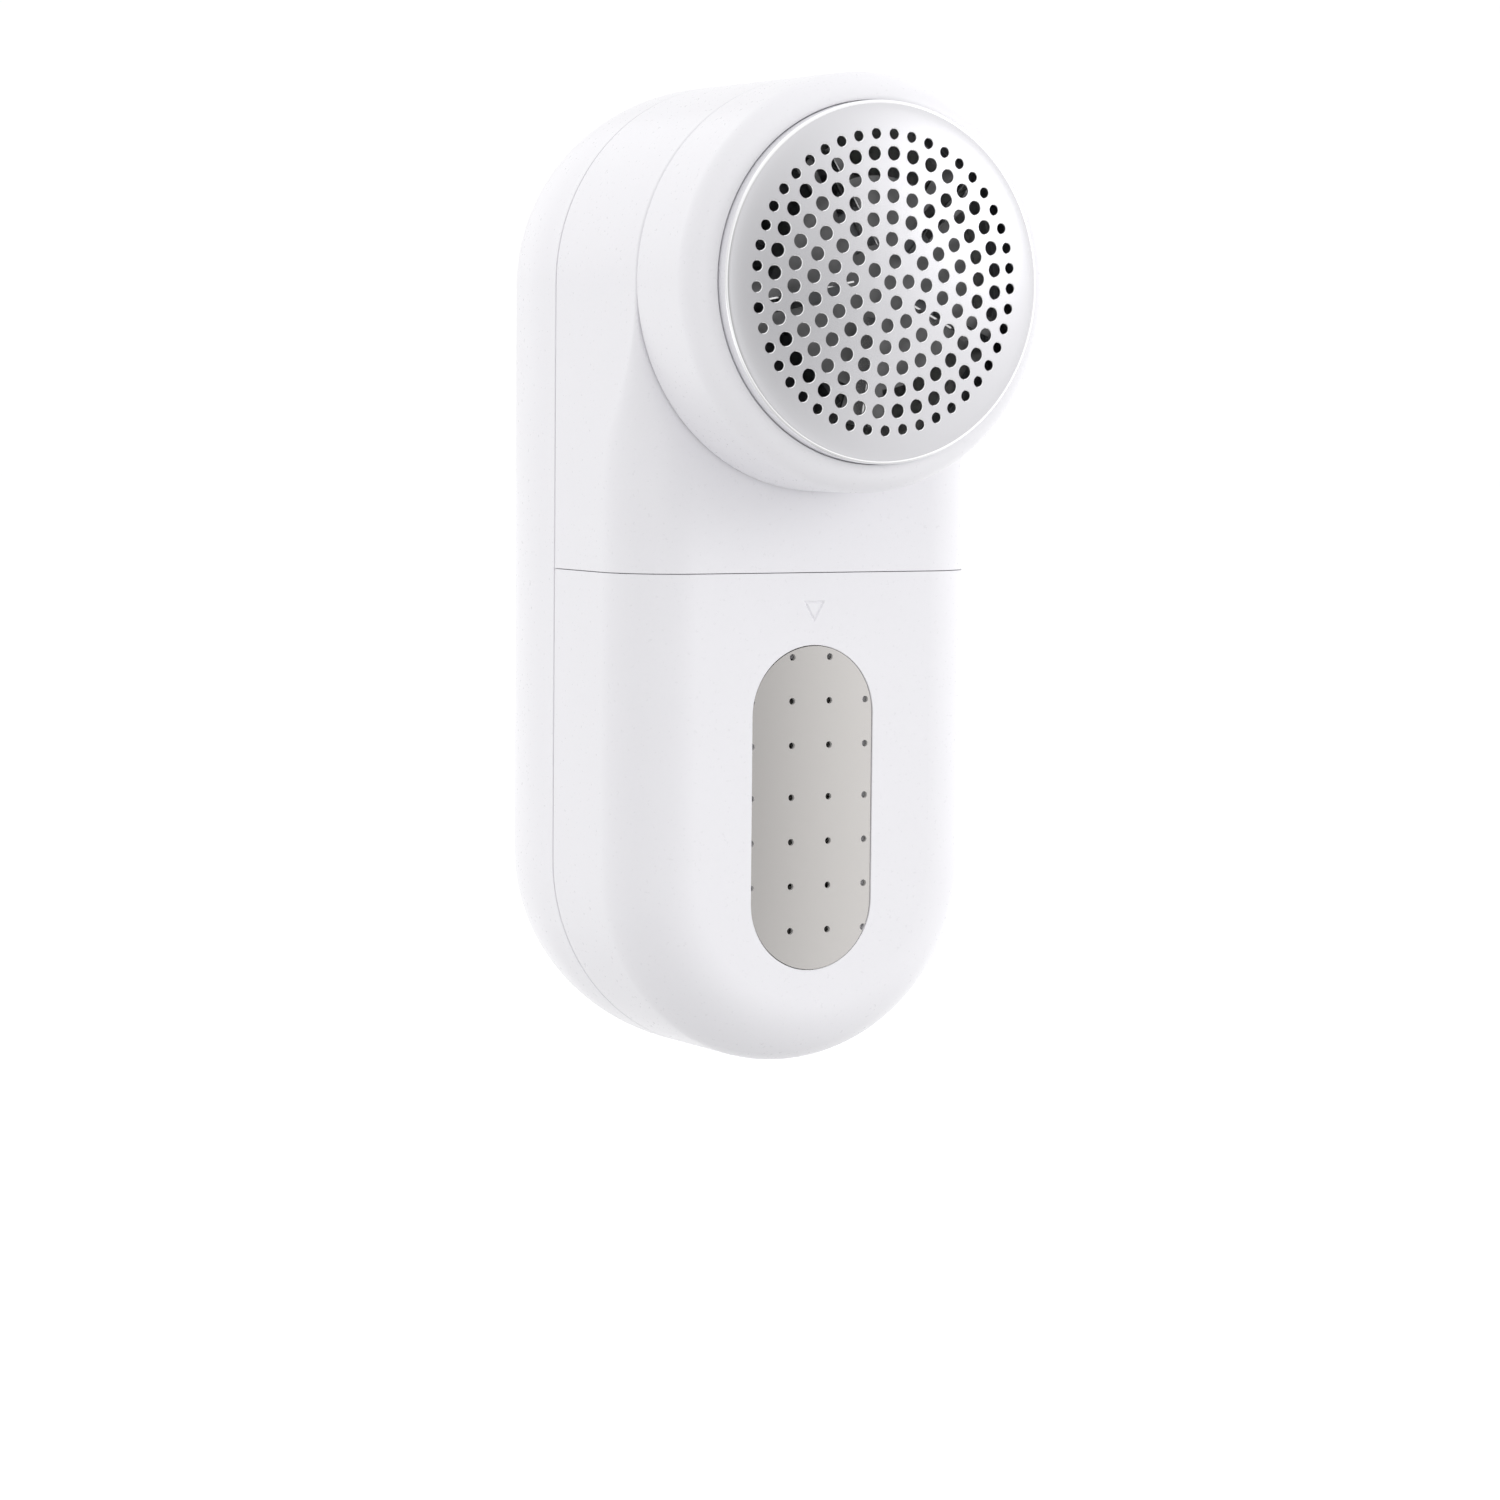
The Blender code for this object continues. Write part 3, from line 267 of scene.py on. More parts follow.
def fill(bm, loops, loose=()):
    """Faces between an outer loop and the convex holes in it, laid out as seen along Y."""
    points = [v for loop in loops for v in loop] + list(loose)
    owners, edges = [], []
    for number, loop in enumerate(loops):
        start = len(owners)
        edges += [(start + i, start + (i + 1) % len(loop)) for i in range(len(loop))]
        owners += [number] * len(loop)
    owners += [None] * len(loose)
    flat = [Vector((v.co.x, v.co.z)) * 1000 for v in points]
    edge = [tuple(point) for point in flat[:len(loops[0])]]
    _, _, faces, origins, _, _ = delaunay_2d_cdt(flat, edges, [], 0, 1e-7, True)
    for face in faces:
        corners = [origins[i][0] for i in face]
        sharing = {owners[i] for i in corners}
        if sharing == {0}:
            middle = sum((flat[i] for i in corners), Vector((0, 0))) / 3
            kept = encloses(edge, *middle)
        else:
            kept = len(sharing) > 1 or sharing == {None}
        if kept:
            bm.faces.new([points[i] for i in corners])


def drill(bm, outline, depths):
    """The wall of a straight hole; returns its loops at each depth."""
    loops = [ring(bm, outline, depth) for depth in depths]
    for first, second in zip(loops, loops[1:]):
        strip(bm, first, second)
    return loops


def plate(bm, outlines, depths):
    """A flat plate whose first outline is its edge and whose others are holes."""
    walls = [drill(bm, outline, depths) for outline in outlines]
    fill(bm, [wall[0] for wall in walls])
    fill(bm, [wall[-1] for wall in walls])


def add_blocks(made, blocks):
    """Adds straight blocks, each given by its (low, high) span across, in depth and upwards."""
    bm = bmesh.new()
    bm.from_mesh(made.data)
    for spans in blocks:
        low, high = (Vector((x, at(depth), z)) for x, depth, z in zip(*spans))
        bmesh.ops.create_cube(bm, size=1, matrix=Matrix.Translation((low + high) / 2)
                              @ Matrix.Diagonal((*(high - low), 1)))
    bm.to_mesh(made.data)
    bm.free()


def lathe(bm, profile, closed=True):
    """Turns (radius, depth) points about the head's axis; returns a row for each angle."""
    rows = []
    for i in range(SIDES):
        angle = 2 * math.pi * i / SIDES
        across, up = math.cos(angle), math.sin(angle)
        rows.append([bm.verts.new((radius * across, at(depth), HEAD_Z + radius * up))
                     for radius, depth in profile])
    for here, there in zip(rows, rows[1:] + rows[:1]):
        strip(bm, here, there, closed)
    return rows


def smooth_out(mesh, sharp=32):
    """Smooth shading with edges kept crisp where the surface turns by more than this angle."""
    mesh.shade_smooth()
    mesh.set_sharp_from_angle(angle=math.radians(sharp))


def mesh_object(name, bm, material, sharp=32):
    bmesh.ops.recalc_face_normals(bm, faces=bm.faces)
    mesh = bpy.data.meshes.new(name)
    bm.to_mesh(mesh)
    bm.free()
    smooth_out(mesh, sharp)
    made = bpy.data.objects.new(name, mesh)
    bpy.context.scene.collection.objects.link(made)
    mesh.materials.append(material)
    return made


def soften(made, width, segments=3, angle=50):
    """Rounds the edges that turn by more than this angle."""
    bevel = made.modifiers.new("soften", "BEVEL")
    bevel.width = width
    bevel.segments = segments
    bevel.limit_method = "ANGLE"
    bevel.angle_limit = math.radians(angle)
    bevel.harden_normals = True
    return made


def carve(made, cutter):
    """Cuts the second object out of the first for good."""
    modifier = made.modifiers.new("carve", "BOOLEAN")
    modifier.operation = "DIFFERENCE"
    modifier.object = cutter
    modifier.material_mode = "TRANSFER"
    bpy.context.view_layer.update()
    graph = bpy.context.evaluated_depsgraph_get()
    carved = bpy.data.meshes.new_from_object(made.evaluated_get(graph))
    made.modifiers.remove(modifier)
    made.data = carved
    bpy.data.objects.remove(cutter)
    smooth_out(carved)


def stand_for(made, body, slot, *nodes):
    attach(made, body)
    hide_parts(*nodes)
    return made


# ---------------------------------------------------------------- housings


def rounding_at(z):
    """The front edge's rounding, which dies away smoothly towards the round head."""
    inside = HALF_WIDTH ** 2 - (HEAD_Z - z) ** 2
    if inside <= 0:
        return FRONT_ROUNDING
    room = max(HEAD_EDGE, HALF_WIDTH - math.sqrt(inside))
    blend = (FRONT_ROUNDING ** -ROUNDING_BLEND + room ** -ROUNDING_BLEND) ** (-1 / ROUNDING_BLEND)
    return max(HEAD_EDGE, blend)


def quarter_turn(steps):
    """(across, deep) points of a unit quarter circle, from its start to its end."""
    angles = [math.pi / 2 * i / steps for i in range(steps + 1)]
    return [(1 - math.cos(angle), math.sin(angle)) for angle in angles]


def front_section(z):
    """(inset, depth) points from the inner flat face round the rim to the outer one."""
    outer = rounding_at(z)
    inner = max(INNER_EDGE, outer - WALL)
    points = [(WALL + inner + GUARD, WALL)]
    points += [(WALL + inner * across, WALL + inner * (1 - deep))
               for across, deep in reversed(quarter_turn(8))]
    points += [(WALL, FRONT_RIM), (0.0, FRONT_RIM)]
    points += [(outer * across, outer * (1 - deep)) for across, deep in quarter_turn(16)]
    points.append((outer + GUARD, 0.0))
    return points


def rear_section(_):
    """The same for the rear shell, whose section doesn't change along its outline."""
    start = FRONT_RIM + REAR_STRIP
    deep_end = BODY_DEPTH - start
    wide = REAR_CORNER_ACROSS
    points = [(wide + GUARD, BODY_DEPTH - WALL)]
    points += [(WALL + (wide - WALL) * across, start + (deep_end - WALL) * deep)
               for across, deep in reversed(quarter_turn(12))]
    points += [(WALL, REAR_RIM), (0.0, REAR_RIM)]
    points += [(wide * across, start + deep_end * deep) for across, deep in quarter_turn(20)]
    points.append((wide + GUARD, BODY_DEPTH))
    return points


def arc_route(centre, upward, steps=96):
    """Stations round one end of the body: (centre's height, direction)."""
    turn = 1 if upward else -1
    angles = [math.pi - turn * math.pi * i / steps for i in range(steps + 1)]
    return [(centre, (math.cos(a), math.sin(a))) for a in angles]


def sweep(bm, route, section, closed=False):
    """Carries a section along the body's outline; returns one row of points per station."""
    rows = []
    for z, (across, up) in route:
        row = []
        for inset, depth in section(z):
            reach = HALF_WIDTH - inset
            row.append(bm.verts.new((across * reach, at(depth), z + up * reach)))
        rows.append(row)
    for here, there in zip(rows, rows[1:] + (rows[:1] if closed else [])):
        strip(bm, here, there, closed=False)
    return rows


def cap_seam(bm, rows):
    """The flat edge of a wall at the seam between the front pieces."""
    bm.faces.new(rows[0] + rows[-1][::-1])


def with_sides(heights, arc):
    """An arc's stations between those at these heights on the left side and on the right."""
    left = [(z, (-1.0, 0.0)) for z in heights]
    right = [(z, (1.0, 0.0)) for z in reversed(heights)]
    return left + arc + right


def front_housing():
    bm = bmesh.new()
    bend = HEAD_Z - HALF_WIDTH
    steps = 48
    heights = [HOUSING_LOW] + [bend + HALF_WIDTH * (i / steps) ** 1.5 for i in range(steps)]
    rows = sweep(bm, with_sides(heights, arc_route(HEAD_Z, True)), front_section)
    cap_seam(bm, rows)
    opening = drill(bm, circle(HEAD_OPENING, SIDES, z=HEAD_Z), (0.0, WALL))
    fill(bm, [[row[-1] for row in rows], opening[0]])
    fill(bm, [[row[0] for row in rows], opening[1]])
    made = soften(mesh_object("upper_front_shell", bm, WHITE), FRONT_SOFTNESS)
    stand_for(made, "housing", "shell_white", "front_housing")


def lint_box():
    bm = bmesh.new()
    rows = sweep(bm, with_sides([LINT_TOP, LINT_STRAIGHT_Z], arc_route(FOOT_Z, False)), front_section)
    cap_seam(bm, rows)
    pocket = drill(bm, window_outline(0.0), (0.0, POCKET_DEPTH))
    through = drill(bm, window_outline(LEDGE), (POCKET_DEPTH, WALL))
    fill(bm, [pocket[1], through[0]])
    mark = engraved_mark(bm)
    fill(bm, [[row[-1] for row in rows], pocket[0], mark])
    fill(bm, [[row[0] for row in rows], through[1]])
    made = soften(mesh_object("lint_box_shell", bm, WHITE, sharp=14), FRONT_SOFTNESS)
    stand_for(made, "lint_box", "shell_white", "lint_box")


def window_outline(inset):
    return stadium(WINDOW_HALF_WIDTH - inset, WINDOW_HALF_HEIGHT - inset, WINDOW_Z, STADIUM_STEPS)


def engraved_mark(bm):
    """A V groove round the triangle above the window; returns the groove's outer loop."""
    middle = (Vector(MARK[0]) + Vector(MARK[1]) + Vector(MARK[2])) / 3
    loops = [ring(bm, [middle + (Vector(point) - middle) * share for point in MARK], depth)
             for share, depth in MARK_GROOVE]
    for first, second in zip(loops, loops[1:]):
        strip(bm, first, second)
    bm.faces.new(loops[-1])
    return loops[0]


def rear_housing():
    bm = bmesh.new()
    route = ([(FOOT_Z, (-1.0, 0.0))] + arc_route(HEAD_Z, True)
             + [(FOOT_Z, (1.0, 0.0))] + arc_route(FOOT_Z, False)[1:-1][::-1])
    rows = sweep(bm, route, rear_section, closed=True)
    inside = BODY_DEPTH - WALL
    door = drill(bm, door_outline(DOOR_GAP), (BODY_DEPTH, inside))
    travel = JOINTS["power_switch_slide"]["range_m"][1]
    middle = KNOB_Z + travel / 2
    well_floor = BODY_DEPTH - WELL_DEPTH
    well = drill(bm, stadium(WELL_HALF_WIDTH, WELL_HALF_HEIGHT, middle), (BODY_DEPTH, well_floor))
    slot = drill(bm, stadium(SLOT_HALF_WIDTH, SLOT_HALF_HEIGHT + travel / 2, middle),
                 (well_floor, inside))
    fill(bm, [well[1], slot[0]])
    fill(bm, [[row[-1] for row in rows], door[0], well[0]])
    fill(bm, [[row[0] for row in rows], door[1], slot[1]])
    made = soften(mesh_object("rear_shell", bm, WHITE), REAR_SOFTNESS)
    stand_for(made, "housing", "shell_white", "rear_housing")


# ---------------------------------------------------------------- head


def head_collar():
    corner = HALF_WIDTH - COLLAR_BORE
    profile = [(COLLAR_BORE, COLLAR_SKIRT_FRONT), (COLLAR_SKIRT_BORE, COLLAR_SKIRT_FRONT),
               (COLLAR_SKIRT_BORE, COLLAR_BACK), (HALF_WIDTH, COLLAR_BACK)]
    steps = 24
    for i in range(steps + 1):
        angle = math.radians(COLLAR_ROUNDING_DEGREES * i / steps)
        profile.append((COLLAR_BORE + corner * math.cos(angle),
                        COLLAR_RIM + COLLAR_ROUNDING * (1 - math.sin(angle))))
    crest_radius, crest_depth = profile[-1]
    for back, out in quarter_turn(4)[1:]:
        profile.append((crest_radius + (COLLAR_BORE - crest_radius) * out,
                        crest_depth + COLLAR_FILLET * back))
    bm = bmesh.new()
    lathe(bm, profile)
    made = soften(mesh_object("head_ring", bm, WHITE), COLLAR_SOFTNESS, angle=60)
    stand_for(made, "head", "shell_white", "head_collar")


def crown(radius):
    """How far the foil's dome stands in front of its edge."""
    return FOIL_CROWN * max(0.0, 1 - (radius / CROWN_RADIUS) ** 2) ** 1.5


def foil_holes():
    """(x, z, radius) of every hole, about the head's axis."""
    yield 0.0, 0.0, LARGE_HOLE
    for share, count, first in HOLE_RINGS:
        for x, z in circle(share * HOLE_RING_RADIUS, count, first=first):
            yield x, z, SMALL_HOLE if share == 1.0 else LARGE_HOLE


def on_dome(bm, outline, behind):
    """A loop of points that lies this far behind the foil's outer face."""
    return [bm.verts.new((x, at(FOIL_EDGE + behind - crown(math.hypot(x, z))), HEAD_Z + z))
            for x, z in outline]


def shaving_foil():
    flat = FOIL_RADIUS - FOIL_CORNER
    inner = FOIL_RADIUS - FOIL_SHEET
    flange_front = FOIL_BACK - FOIL_FLANGE_SHEET
    profile = [(flat + FOIL_CORNER * out, FOIL_EDGE + FOIL_CORNER * back) for back, out in quarter_turn(8)]
    profile += [(FOIL_RADIUS, flange_front), (FOIL_FLANGE, flange_front), (FOIL_FLANGE, FOIL_BACK),
                (inner, FOIL_BACK), (inner, FOIL_EDGE + FOIL_CORNER), (flat, FOIL_EDGE + FOIL_SHEET)]
    bm = bmesh.new()
    rows = lathe(bm, profile, closed=False)
    outer, back = [[row[0] for row in rows]], [[row[-1] for row in rows]]
    for x, z, radius in foil_holes():
        sides = LARGE_HOLE_SIDES if radius == LARGE_HOLE else SMALL_HOLE_SIDES
        rim = on_dome(bm, circle(radius + HOLE_CHAMFER, sides, x, z), 0.0)
        mouth = on_dome(bm, circle(radius, sides, x, z), HOLE_CHAMFER)
        end = on_dome(bm, circle(radius, sides, x, z), FOIL_SHEET)
        strip(bm, rim, mouth)
        strip(bm, mouth, end)
        outer.append(rim)
        back.append(end)
    polished = set(bm.faces)
    for loops, behind in ((outer, 0.0), (back, FOIL_SHEET)):
        loose = [point for radius in DOME_RINGS for point in on_dome(bm, circle(radius, SIDES), behind)]
        fill(bm, loops, loose)
    for face in polished:
        face.material_index = 1
    made = mesh_object("foil", bm, FOIL, sharp=25)
    made.data.materials.append(POLISHED)
    stand_for(made, "head", "foil_steel", "shaving_foil")


def polar(radius, degrees, aside=0.0):
    """(x, z) at this radius and angle about the head's axis, moved aside by this much."""
    across, up = math.cos(math.radians(degrees)), math.sin(math.radians(degrees))
    return (radius * across - aside * up, HEAD_Z + radius * up + aside * across)


def blade_outline():
    """A star with a slit beside each arm's edge and a round waist between the arms."""
    pitch = 360 / BLADE_ARMS
    outline = []
    for arm in range(BLADE_ARMS):
        edge = BLADE_FIRST_EDGE + arm * pitch
        slit = ((BLADE_TIP, 0), (BLADE_HUB, 0), (BLADE_HUB, BLADE_GAP), (BLADE_TIP, BLADE_GAP))
        outline += [polar(radius, edge, aside - BLADE_OFFSET) for radius, aside in slit]
        first, last = edge + BLADE_TIP_DEGREES, edge + pitch - BLADE_TIP_DEGREES
        outline.append(polar(BLADE_TIP, first))
        steps = 12
        outline += [polar(BLADE_WAIST, first + (last - first) * i / steps) for i in range(steps + 1)]
        outline.append(polar(BLADE_TIP, last))
    return outline


def knife(bm, degrees):
    """An upright knife with a ground edge that follows the dome."""
    steps = 16
    edge = FOIL_EDGE + FOIL_SHEET + KNIFE_CLEARANCE
    rows = []
    for i in range(steps + 1):
        radius = KNIFE_START + (BLADE_TIP - KNIFE_START) * i / steps
        row = []
        for aside, front in ((0.0, True), (-KNIFE, True), (-KNIFE, False), (0.0, False)):
            x, z = polar(radius, degrees, aside - KNIFE_OFFSET)
            bevel = KNIFE_BEVEL if aside else 0.0
            depth = edge + bevel - crown(math.hypot(x, z - HEAD_Z)) if front else BLADE_DEPTHS[0]
            row.append(bm.verts.new((x, at(depth), z)))
        rows.append(row)
    for here, there in zip(rows, rows[1:]):
        strip(bm, here, there)
    bm.faces.new(rows[0])
    bm.faces.new(rows[-1])


def cutter_blade():
    bm = bmesh.new()
    plate(bm, [blade_outline()], BLADE_DEPTHS)
    star = set(bm.faces)
    for arm in range(BLADE_ARMS):
        knife(bm, BLADE_FIRST_EDGE + arm * 360 / BLADE_ARMS)
    # The star's faces take the darkened steel, which is painted shade; the knives take plain steel.
    for face in bm.faces:
        face.material_index = 0 if face in star else 1
    made = mesh_object("star_blade", bm, BLADE_PAINTED_SHADE)
    made.data.materials.append(KNIVES)
    stand_for(made, "cutter", "blade_steel", "cutter_blade")


# ---------------------------------------------------------------- lint box window


def vent_plate():
    bm = bmesh.new()
    plate(bm, [window_outline(VENT_GAP)], VENT_DEPTHS)
    made = mesh_object("vent_panel", bm, VENT)
    bm = bmesh.new()
    for up in VENT_ROWS:
        for x in VENT_COLUMNS:
            if inside_window(x, up):
                plate(bm, [circle(VENT_RADIUS, VENT_SIDES, x, WINDOW_Z + up)],
                      (VENT_DEPTHS[0] - CUTTER_RISE, VENT_DEPTHS[1] + CUTTER_RISE))
    carve(made, mesh_object("vents", bm, PUNCHED))
    bend_plate(made)
    stand_for(soften(made, VENT_SOFTNESS, 2), "lint_box", "vent_steel", "vent_plate")


def bend_plate(made):
    """Gives the plate its slight crossways bulge, with enough points to bend."""
    bm = bmesh.new()
    bm.from_mesh(made.data)
    for x in BULGE_CUTS:
        bmesh.ops.bisect_plane(bm, geom=bm.verts[:] + bm.edges[:] + bm.faces[:], dist=1e-7,
                               plane_co=(x, 0, 0), plane_no=(1, 0, 0))
    for vertex in bm.verts:
        vertex.co.y -= VENT_BULGE * (1 - (vertex.co.x / WINDOW_HALF_WIDTH) ** 2)
    bm.to_mesh(made.data)
    bm.free()


def inside_window(x, up):
    """True if a good part of a vent lies in the window."""
    straight = WINDOW_HALF_HEIGHT - WINDOW_HALF_WIDTH
    return math.hypot(x, max(0.0, abs(up) - straight)) < WINDOW_HALF_WIDTH + VENT_RADIUS / 2


# ---------------------------------------------------------------- back


def door_outline(grown=0.0):
    """The door's outline, or that of the opening round it."""
    return rounded_rectangle(DOOR_HALF_WIDTH + grown, DOOR_LOW - grown, DOOR_HIGH + grown,
                             DOOR_LOW_RADIUS + grown, DOOR_HIGH_RADIUS + grown)


def battery_door():
    bm = bmesh.new()
    plate(bm, [door_outline()], (BODY_DEPTH - DOOR_THICKNESS, BODY_DEPTH))
    made = mesh_object("door", bm, WHITE)
    bm = bmesh.new()
    for z in GRIP_HEIGHTS:
        plate(bm, [stadium_across(GRIP_HALF_LENGTH, GRIP_RADIUS, z)],
              (BODY_DEPTH - GRIP_DEPTH, BODY_DEPTH + CUTTER_RISE))
    carve(made, mesh_object("grip", bm, WHITE))
    add_blocks(made, door_fittings())
    stand_for(soften(made, DOOR_SOFTNESS, angle=60), "battery_door", "shell_white", "battery_door")


def door_fittings():
    """The door's two foot hooks, its tongue and the stiffening ribs on its inner face."""
    inner = BODY_DEPTH - DOOR_THICKNESS
    root = inner + FITTING_ROOT
    hooks = [((x - HOOK_HALF_WIDTH, x + HOOK_HALF_WIDTH), (inner - HOOK_REACH, root),
              (DOOR_LOW + HOOK_RISE[0], DOOR_LOW + HOOK_RISE[1])) for x in HOOKS_X]
    tongue = ((-TONGUE_HALF_WIDTH, TONGUE_HALF_WIDTH), (inner - TONGUE_REACH, root),
              (DOOR_HIGH - TONGUE_DROP[0], DOOR_HIGH - TONGUE_DROP[1]))
    ribs = [((x - RIB_HALF_WIDTH, x + RIB_HALF_WIDTH), (inner - RIB_REACH, root),
             (DOOR_LOW + RIB_ENDS[0], DOOR_HIGH - RIB_ENDS[1])) for x in RIBS_X]
    return [*hooks, tongue, *ribs]


def stadium_across(half_length, radius, z, steps=8):
    """A stadium that lies on its side."""
    return [(up, z - across) for across, up in stadium(radius, half_length, 0.0, steps)]


def switch_knob():
    bm = bmesh.new()
    plate(bm, [stadium(KNOB_HALF_WIDTH, KNOB_HALF_HEIGHT, KNOB_Z, 24)],
          (BODY_DEPTH - KNOB_FOOT, BODY_DEPTH - KNOB_TOP))
    made = mesh_object("knob", bm, GREY)
    bm = bmesh.new()
    for i in range(KNOB_GROOVES):
        z = KNOB_Z + (i - (KNOB_GROOVES - 1) / 2) * KNOB_GROOVE_STEP
        plate(bm, [stadium_across(KNOB_GROOVE_HALF_LENGTH, KNOB_GROOVE_RADIUS, z)],
              (BODY_DEPTH - KNOB_GROOVE_DEPTH, BODY_DEPTH + CUTTER_RISE))
    carve(made, mesh_object("ribs", bm, GREY))
    stem_depths = [BODY_DEPTH - depth for depth in KNOB_STEM_DEPTHS]
    add_blocks(made, [((-KNOB_STEM, KNOB_STEM), stem_depths, (KNOB_Z - KNOB_STEM, KNOB_Z + KNOB_STEM))])
    stand_for(soften(made, KNOB_SOFTNESS, angle=60), "power_switch", "grey_plastic", "switch_knob")


# ---------------------------------------------------------------- materials


def add_node(tree, kind, **values):
    """A node with its inputs set by name and its properties by attribute."""
    node = tree.nodes.new(kind)
    for key, value in values.items():
        if key in node.inputs:
            node.inputs[key].default_value = value
        else:
            setattr(node, key, value)
    return node


def noise(tree, scale, stretch, detail):
    """A noise pattern in the object's own space, in cells per metre."""
    place = add_node(tree, "ShaderNodeTexCoord")
    mapping = add_node(tree, "ShaderNodeMapping", Scale=stretch)
    made = add_node(tree, "ShaderNodeTexNoise", Scale=scale, Detail=detail)
    tree.links.new(place.outputs["Object"], mapping.inputs["Vector"])
    tree.links.new(mapping.outputs["Vector"], made.inputs["Vector"])
    return made.outputs["Fac"]


def remap(tree, source, start, end, low, high, kind="LINEAR"):
    """Takes a value from the span start..end to the span low..high."""
    node = add_node(tree, "ShaderNodeMapRange", interpolation_type=kind)
    for name, value in (("From Min", start), ("From Max", end), ("To Min", low), ("To Max", high)):
        node.inputs[name].default_value = value
    tree.links.new(source, node.inputs["Value"])
    return node.outputs["Result"]


def from_noise(tree, source, low, high):
    """Takes the noise's usual span to low..high."""
    return remap(tree, source, *NOISE_SPAN, low, high)


def maths(tree, operation, first, second):
    """A sum or product of two values, each a node's output or a number."""
    node = add_node(tree, "ShaderNodeMath", operation=operation)
    for socket, value in zip(node.inputs, (first, second)):
        if isinstance(value, float):
            socket.default_value = value
        else:
            tree.links.new(value, socket)
    return node.outputs[0]


def finish_of(name, colour, roughness, metallic=0.0, shade=0.02, spread=0.04, grain=2500.0,
              bump=0.00001, stretch=(1, 1, 1)):
    """A Principled finish with fine variation in colour, roughness and relief."""
    made = bpy.data.materials.new(name)
    made.use_nodes = True
    tree = made.node_tree
    shader = tree.nodes["Principled BSDF"]
    shader.inputs["Metallic"].default_value = metallic
    fine = noise(tree, grain, stretch, 4.0)
    broad = noise(tree, BROAD_GRAIN, (1, 1, 1), 2.0)
    blend = maths(tree, "MULTIPLY", maths(tree, "ADD", fine, broad), 0.5)
    mix = add_node(tree, "ShaderNodeMix", data_type="RGBA")
    mix.inputs["A"].default_value = (*[c * (1 - shade) for c in colour], 1)
    mix.inputs["B"].default_value = (*[min(1.0, c * (1 + shade)) for c in colour], 1)
    tree.links.new(from_noise(tree, blend, 0.0, 1.0), mix.inputs["Factor"])
    tree.links.new(mix.outputs["Result"], shader.inputs["Base Color"])
    rough = from_noise(tree, fine, roughness - spread, roughness + spread)
    tree.links.new(rough, shader.inputs["Roughness"])
    relief = add_node(tree, "ShaderNodeBump", Strength=1.0, Distance=bump)
    tree.links.new(fine, relief.inputs["Height"])
    tree.links.new(relief.outputs["Normal"], shader.inputs["Normal"])
    return made


WHITE = finish_of("white_shell", (0.875, 0.868, 0.90), 0.30, shade=0.008, spread=0.03, grain=1800,
                  bump=0.000002)
GREY = finish_of("grey_knob", (0.30, 0.31, 0.33), 0.5, shade=0.05, grain=3000, bump=0.00001)
FOIL = finish_of("foil_face", (0.715, 0.71, 0.735), 0.27, metallic=1.0, shade=0.004, spread=0.003,
                 grain=9000, bump=0.00000003, stretch=(1, 1, 0.25))
POLISHED = finish_of("foil_rim", (0.97, 0.97, 0.98), 0.12, metallic=1.0, shade=0.01, spread=0.02,
                     grain=5000, bump=0.0000001)
KNIVES = finish_of("knife_edge", (0.80, 0.80, 0.80), 0.25, metallic=1.0, shade=0.02, grain=5000,
                   bump=0.0000003)
VENT = finish_of("vent_face", (0.61, 0.59, 0.575), 0.27, metallic=1.0, shade=0.004, spread=0.003,
                 grain=12000, bump=0.00000003, stretch=(1, 1, 0.03))
PUNCHED = finish_of("punched_edge", (0.62, 0.61, 0.60), 0.6, metallic=0.1, shade=0.03, grain=9000,
                    bump=0.0000005)
# The blade's face is a dark grey, far darker than its steel knives: painted shade for the dim space behind
# the foil.
BLADE_PAINTED_SHADE = finish_of("blade_face", (0.27, 0.27, 0.275), 0.45, metallic=1.0, shade=0.06, spread=0.08,
                  grain=6000, bump=0.000003)

LOOKS = {
    "shell_white": WHITE,
    "grey_plastic": GREY,
    "foil_steel": FOIL,
    "vent_steel": VENT,
    "blade_steel": BLADE_PAINTED_SHADE,
    "inner_white": finish_of("inner_white", (0.78, 0.78, 0.77), 0.5, shade=0.02, grain=1500),
    "black_plastic": finish_of("black_plastic", (0.03, 0.03, 0.033), 0.5, shade=0.2, grain=3000),
    "rubber": finish_of("rubber", (0.045, 0.045, 0.045), 0.75, shade=0.2, grain=4000, bump=0.00002),
    "zinc_steel": finish_of("zinc_steel", (0.66, 0.66, 0.68), 0.3, metallic=1.0, shade=0.04),
    "brass": finish_of("brass", (0.78, 0.60, 0.28), 0.3, metallic=1.0, shade=0.05),
    "filter_cloth": finish_of("filter_cloth", (0.78, 0.78, 0.76), 0.85, shade=0.12, grain=2500,
                              bump=0.00006),
    "capacitor": finish_of("capacitor", (0.70, 0.36, 0.10), 0.45, shade=0.06),
    "cell_wrap": finish_of("cell_wrap", (0.07, 0.14, 0.25), 0.3, shade=0.08, grain=1200),
    "lead_red": finish_of("lead_red", (0.60, 0.05, 0.04), 0.45, shade=0.06),
    "lead_blue": finish_of("lead_blue", (0.05, 0.12, 0.45), 0.45, shade=0.06),
}


def dress_frame():
    """Gives each shown CAD node the look of its material slot."""
    for part in frame["record"]["subparts"]:
        node = frame["nodes"][part["node"]]
        node.data.materials.clear()
        node.data.materials.append(LOOKS[part["material_slot"]])
        smooth_out(node.data, sharp=35)


# ---------------------------------------------------------------- studio


def direction(azimuth, elevation):
    """Unit vector from the body; azimuth 0 is in front of it and 90 at its right side, in degrees."""
    a, e = math.radians(azimuth), math.radians(elevation)
    return Vector((math.sin(a) * math.cos(e), -math.cos(a) * math.cos(e), math.sin(e)))


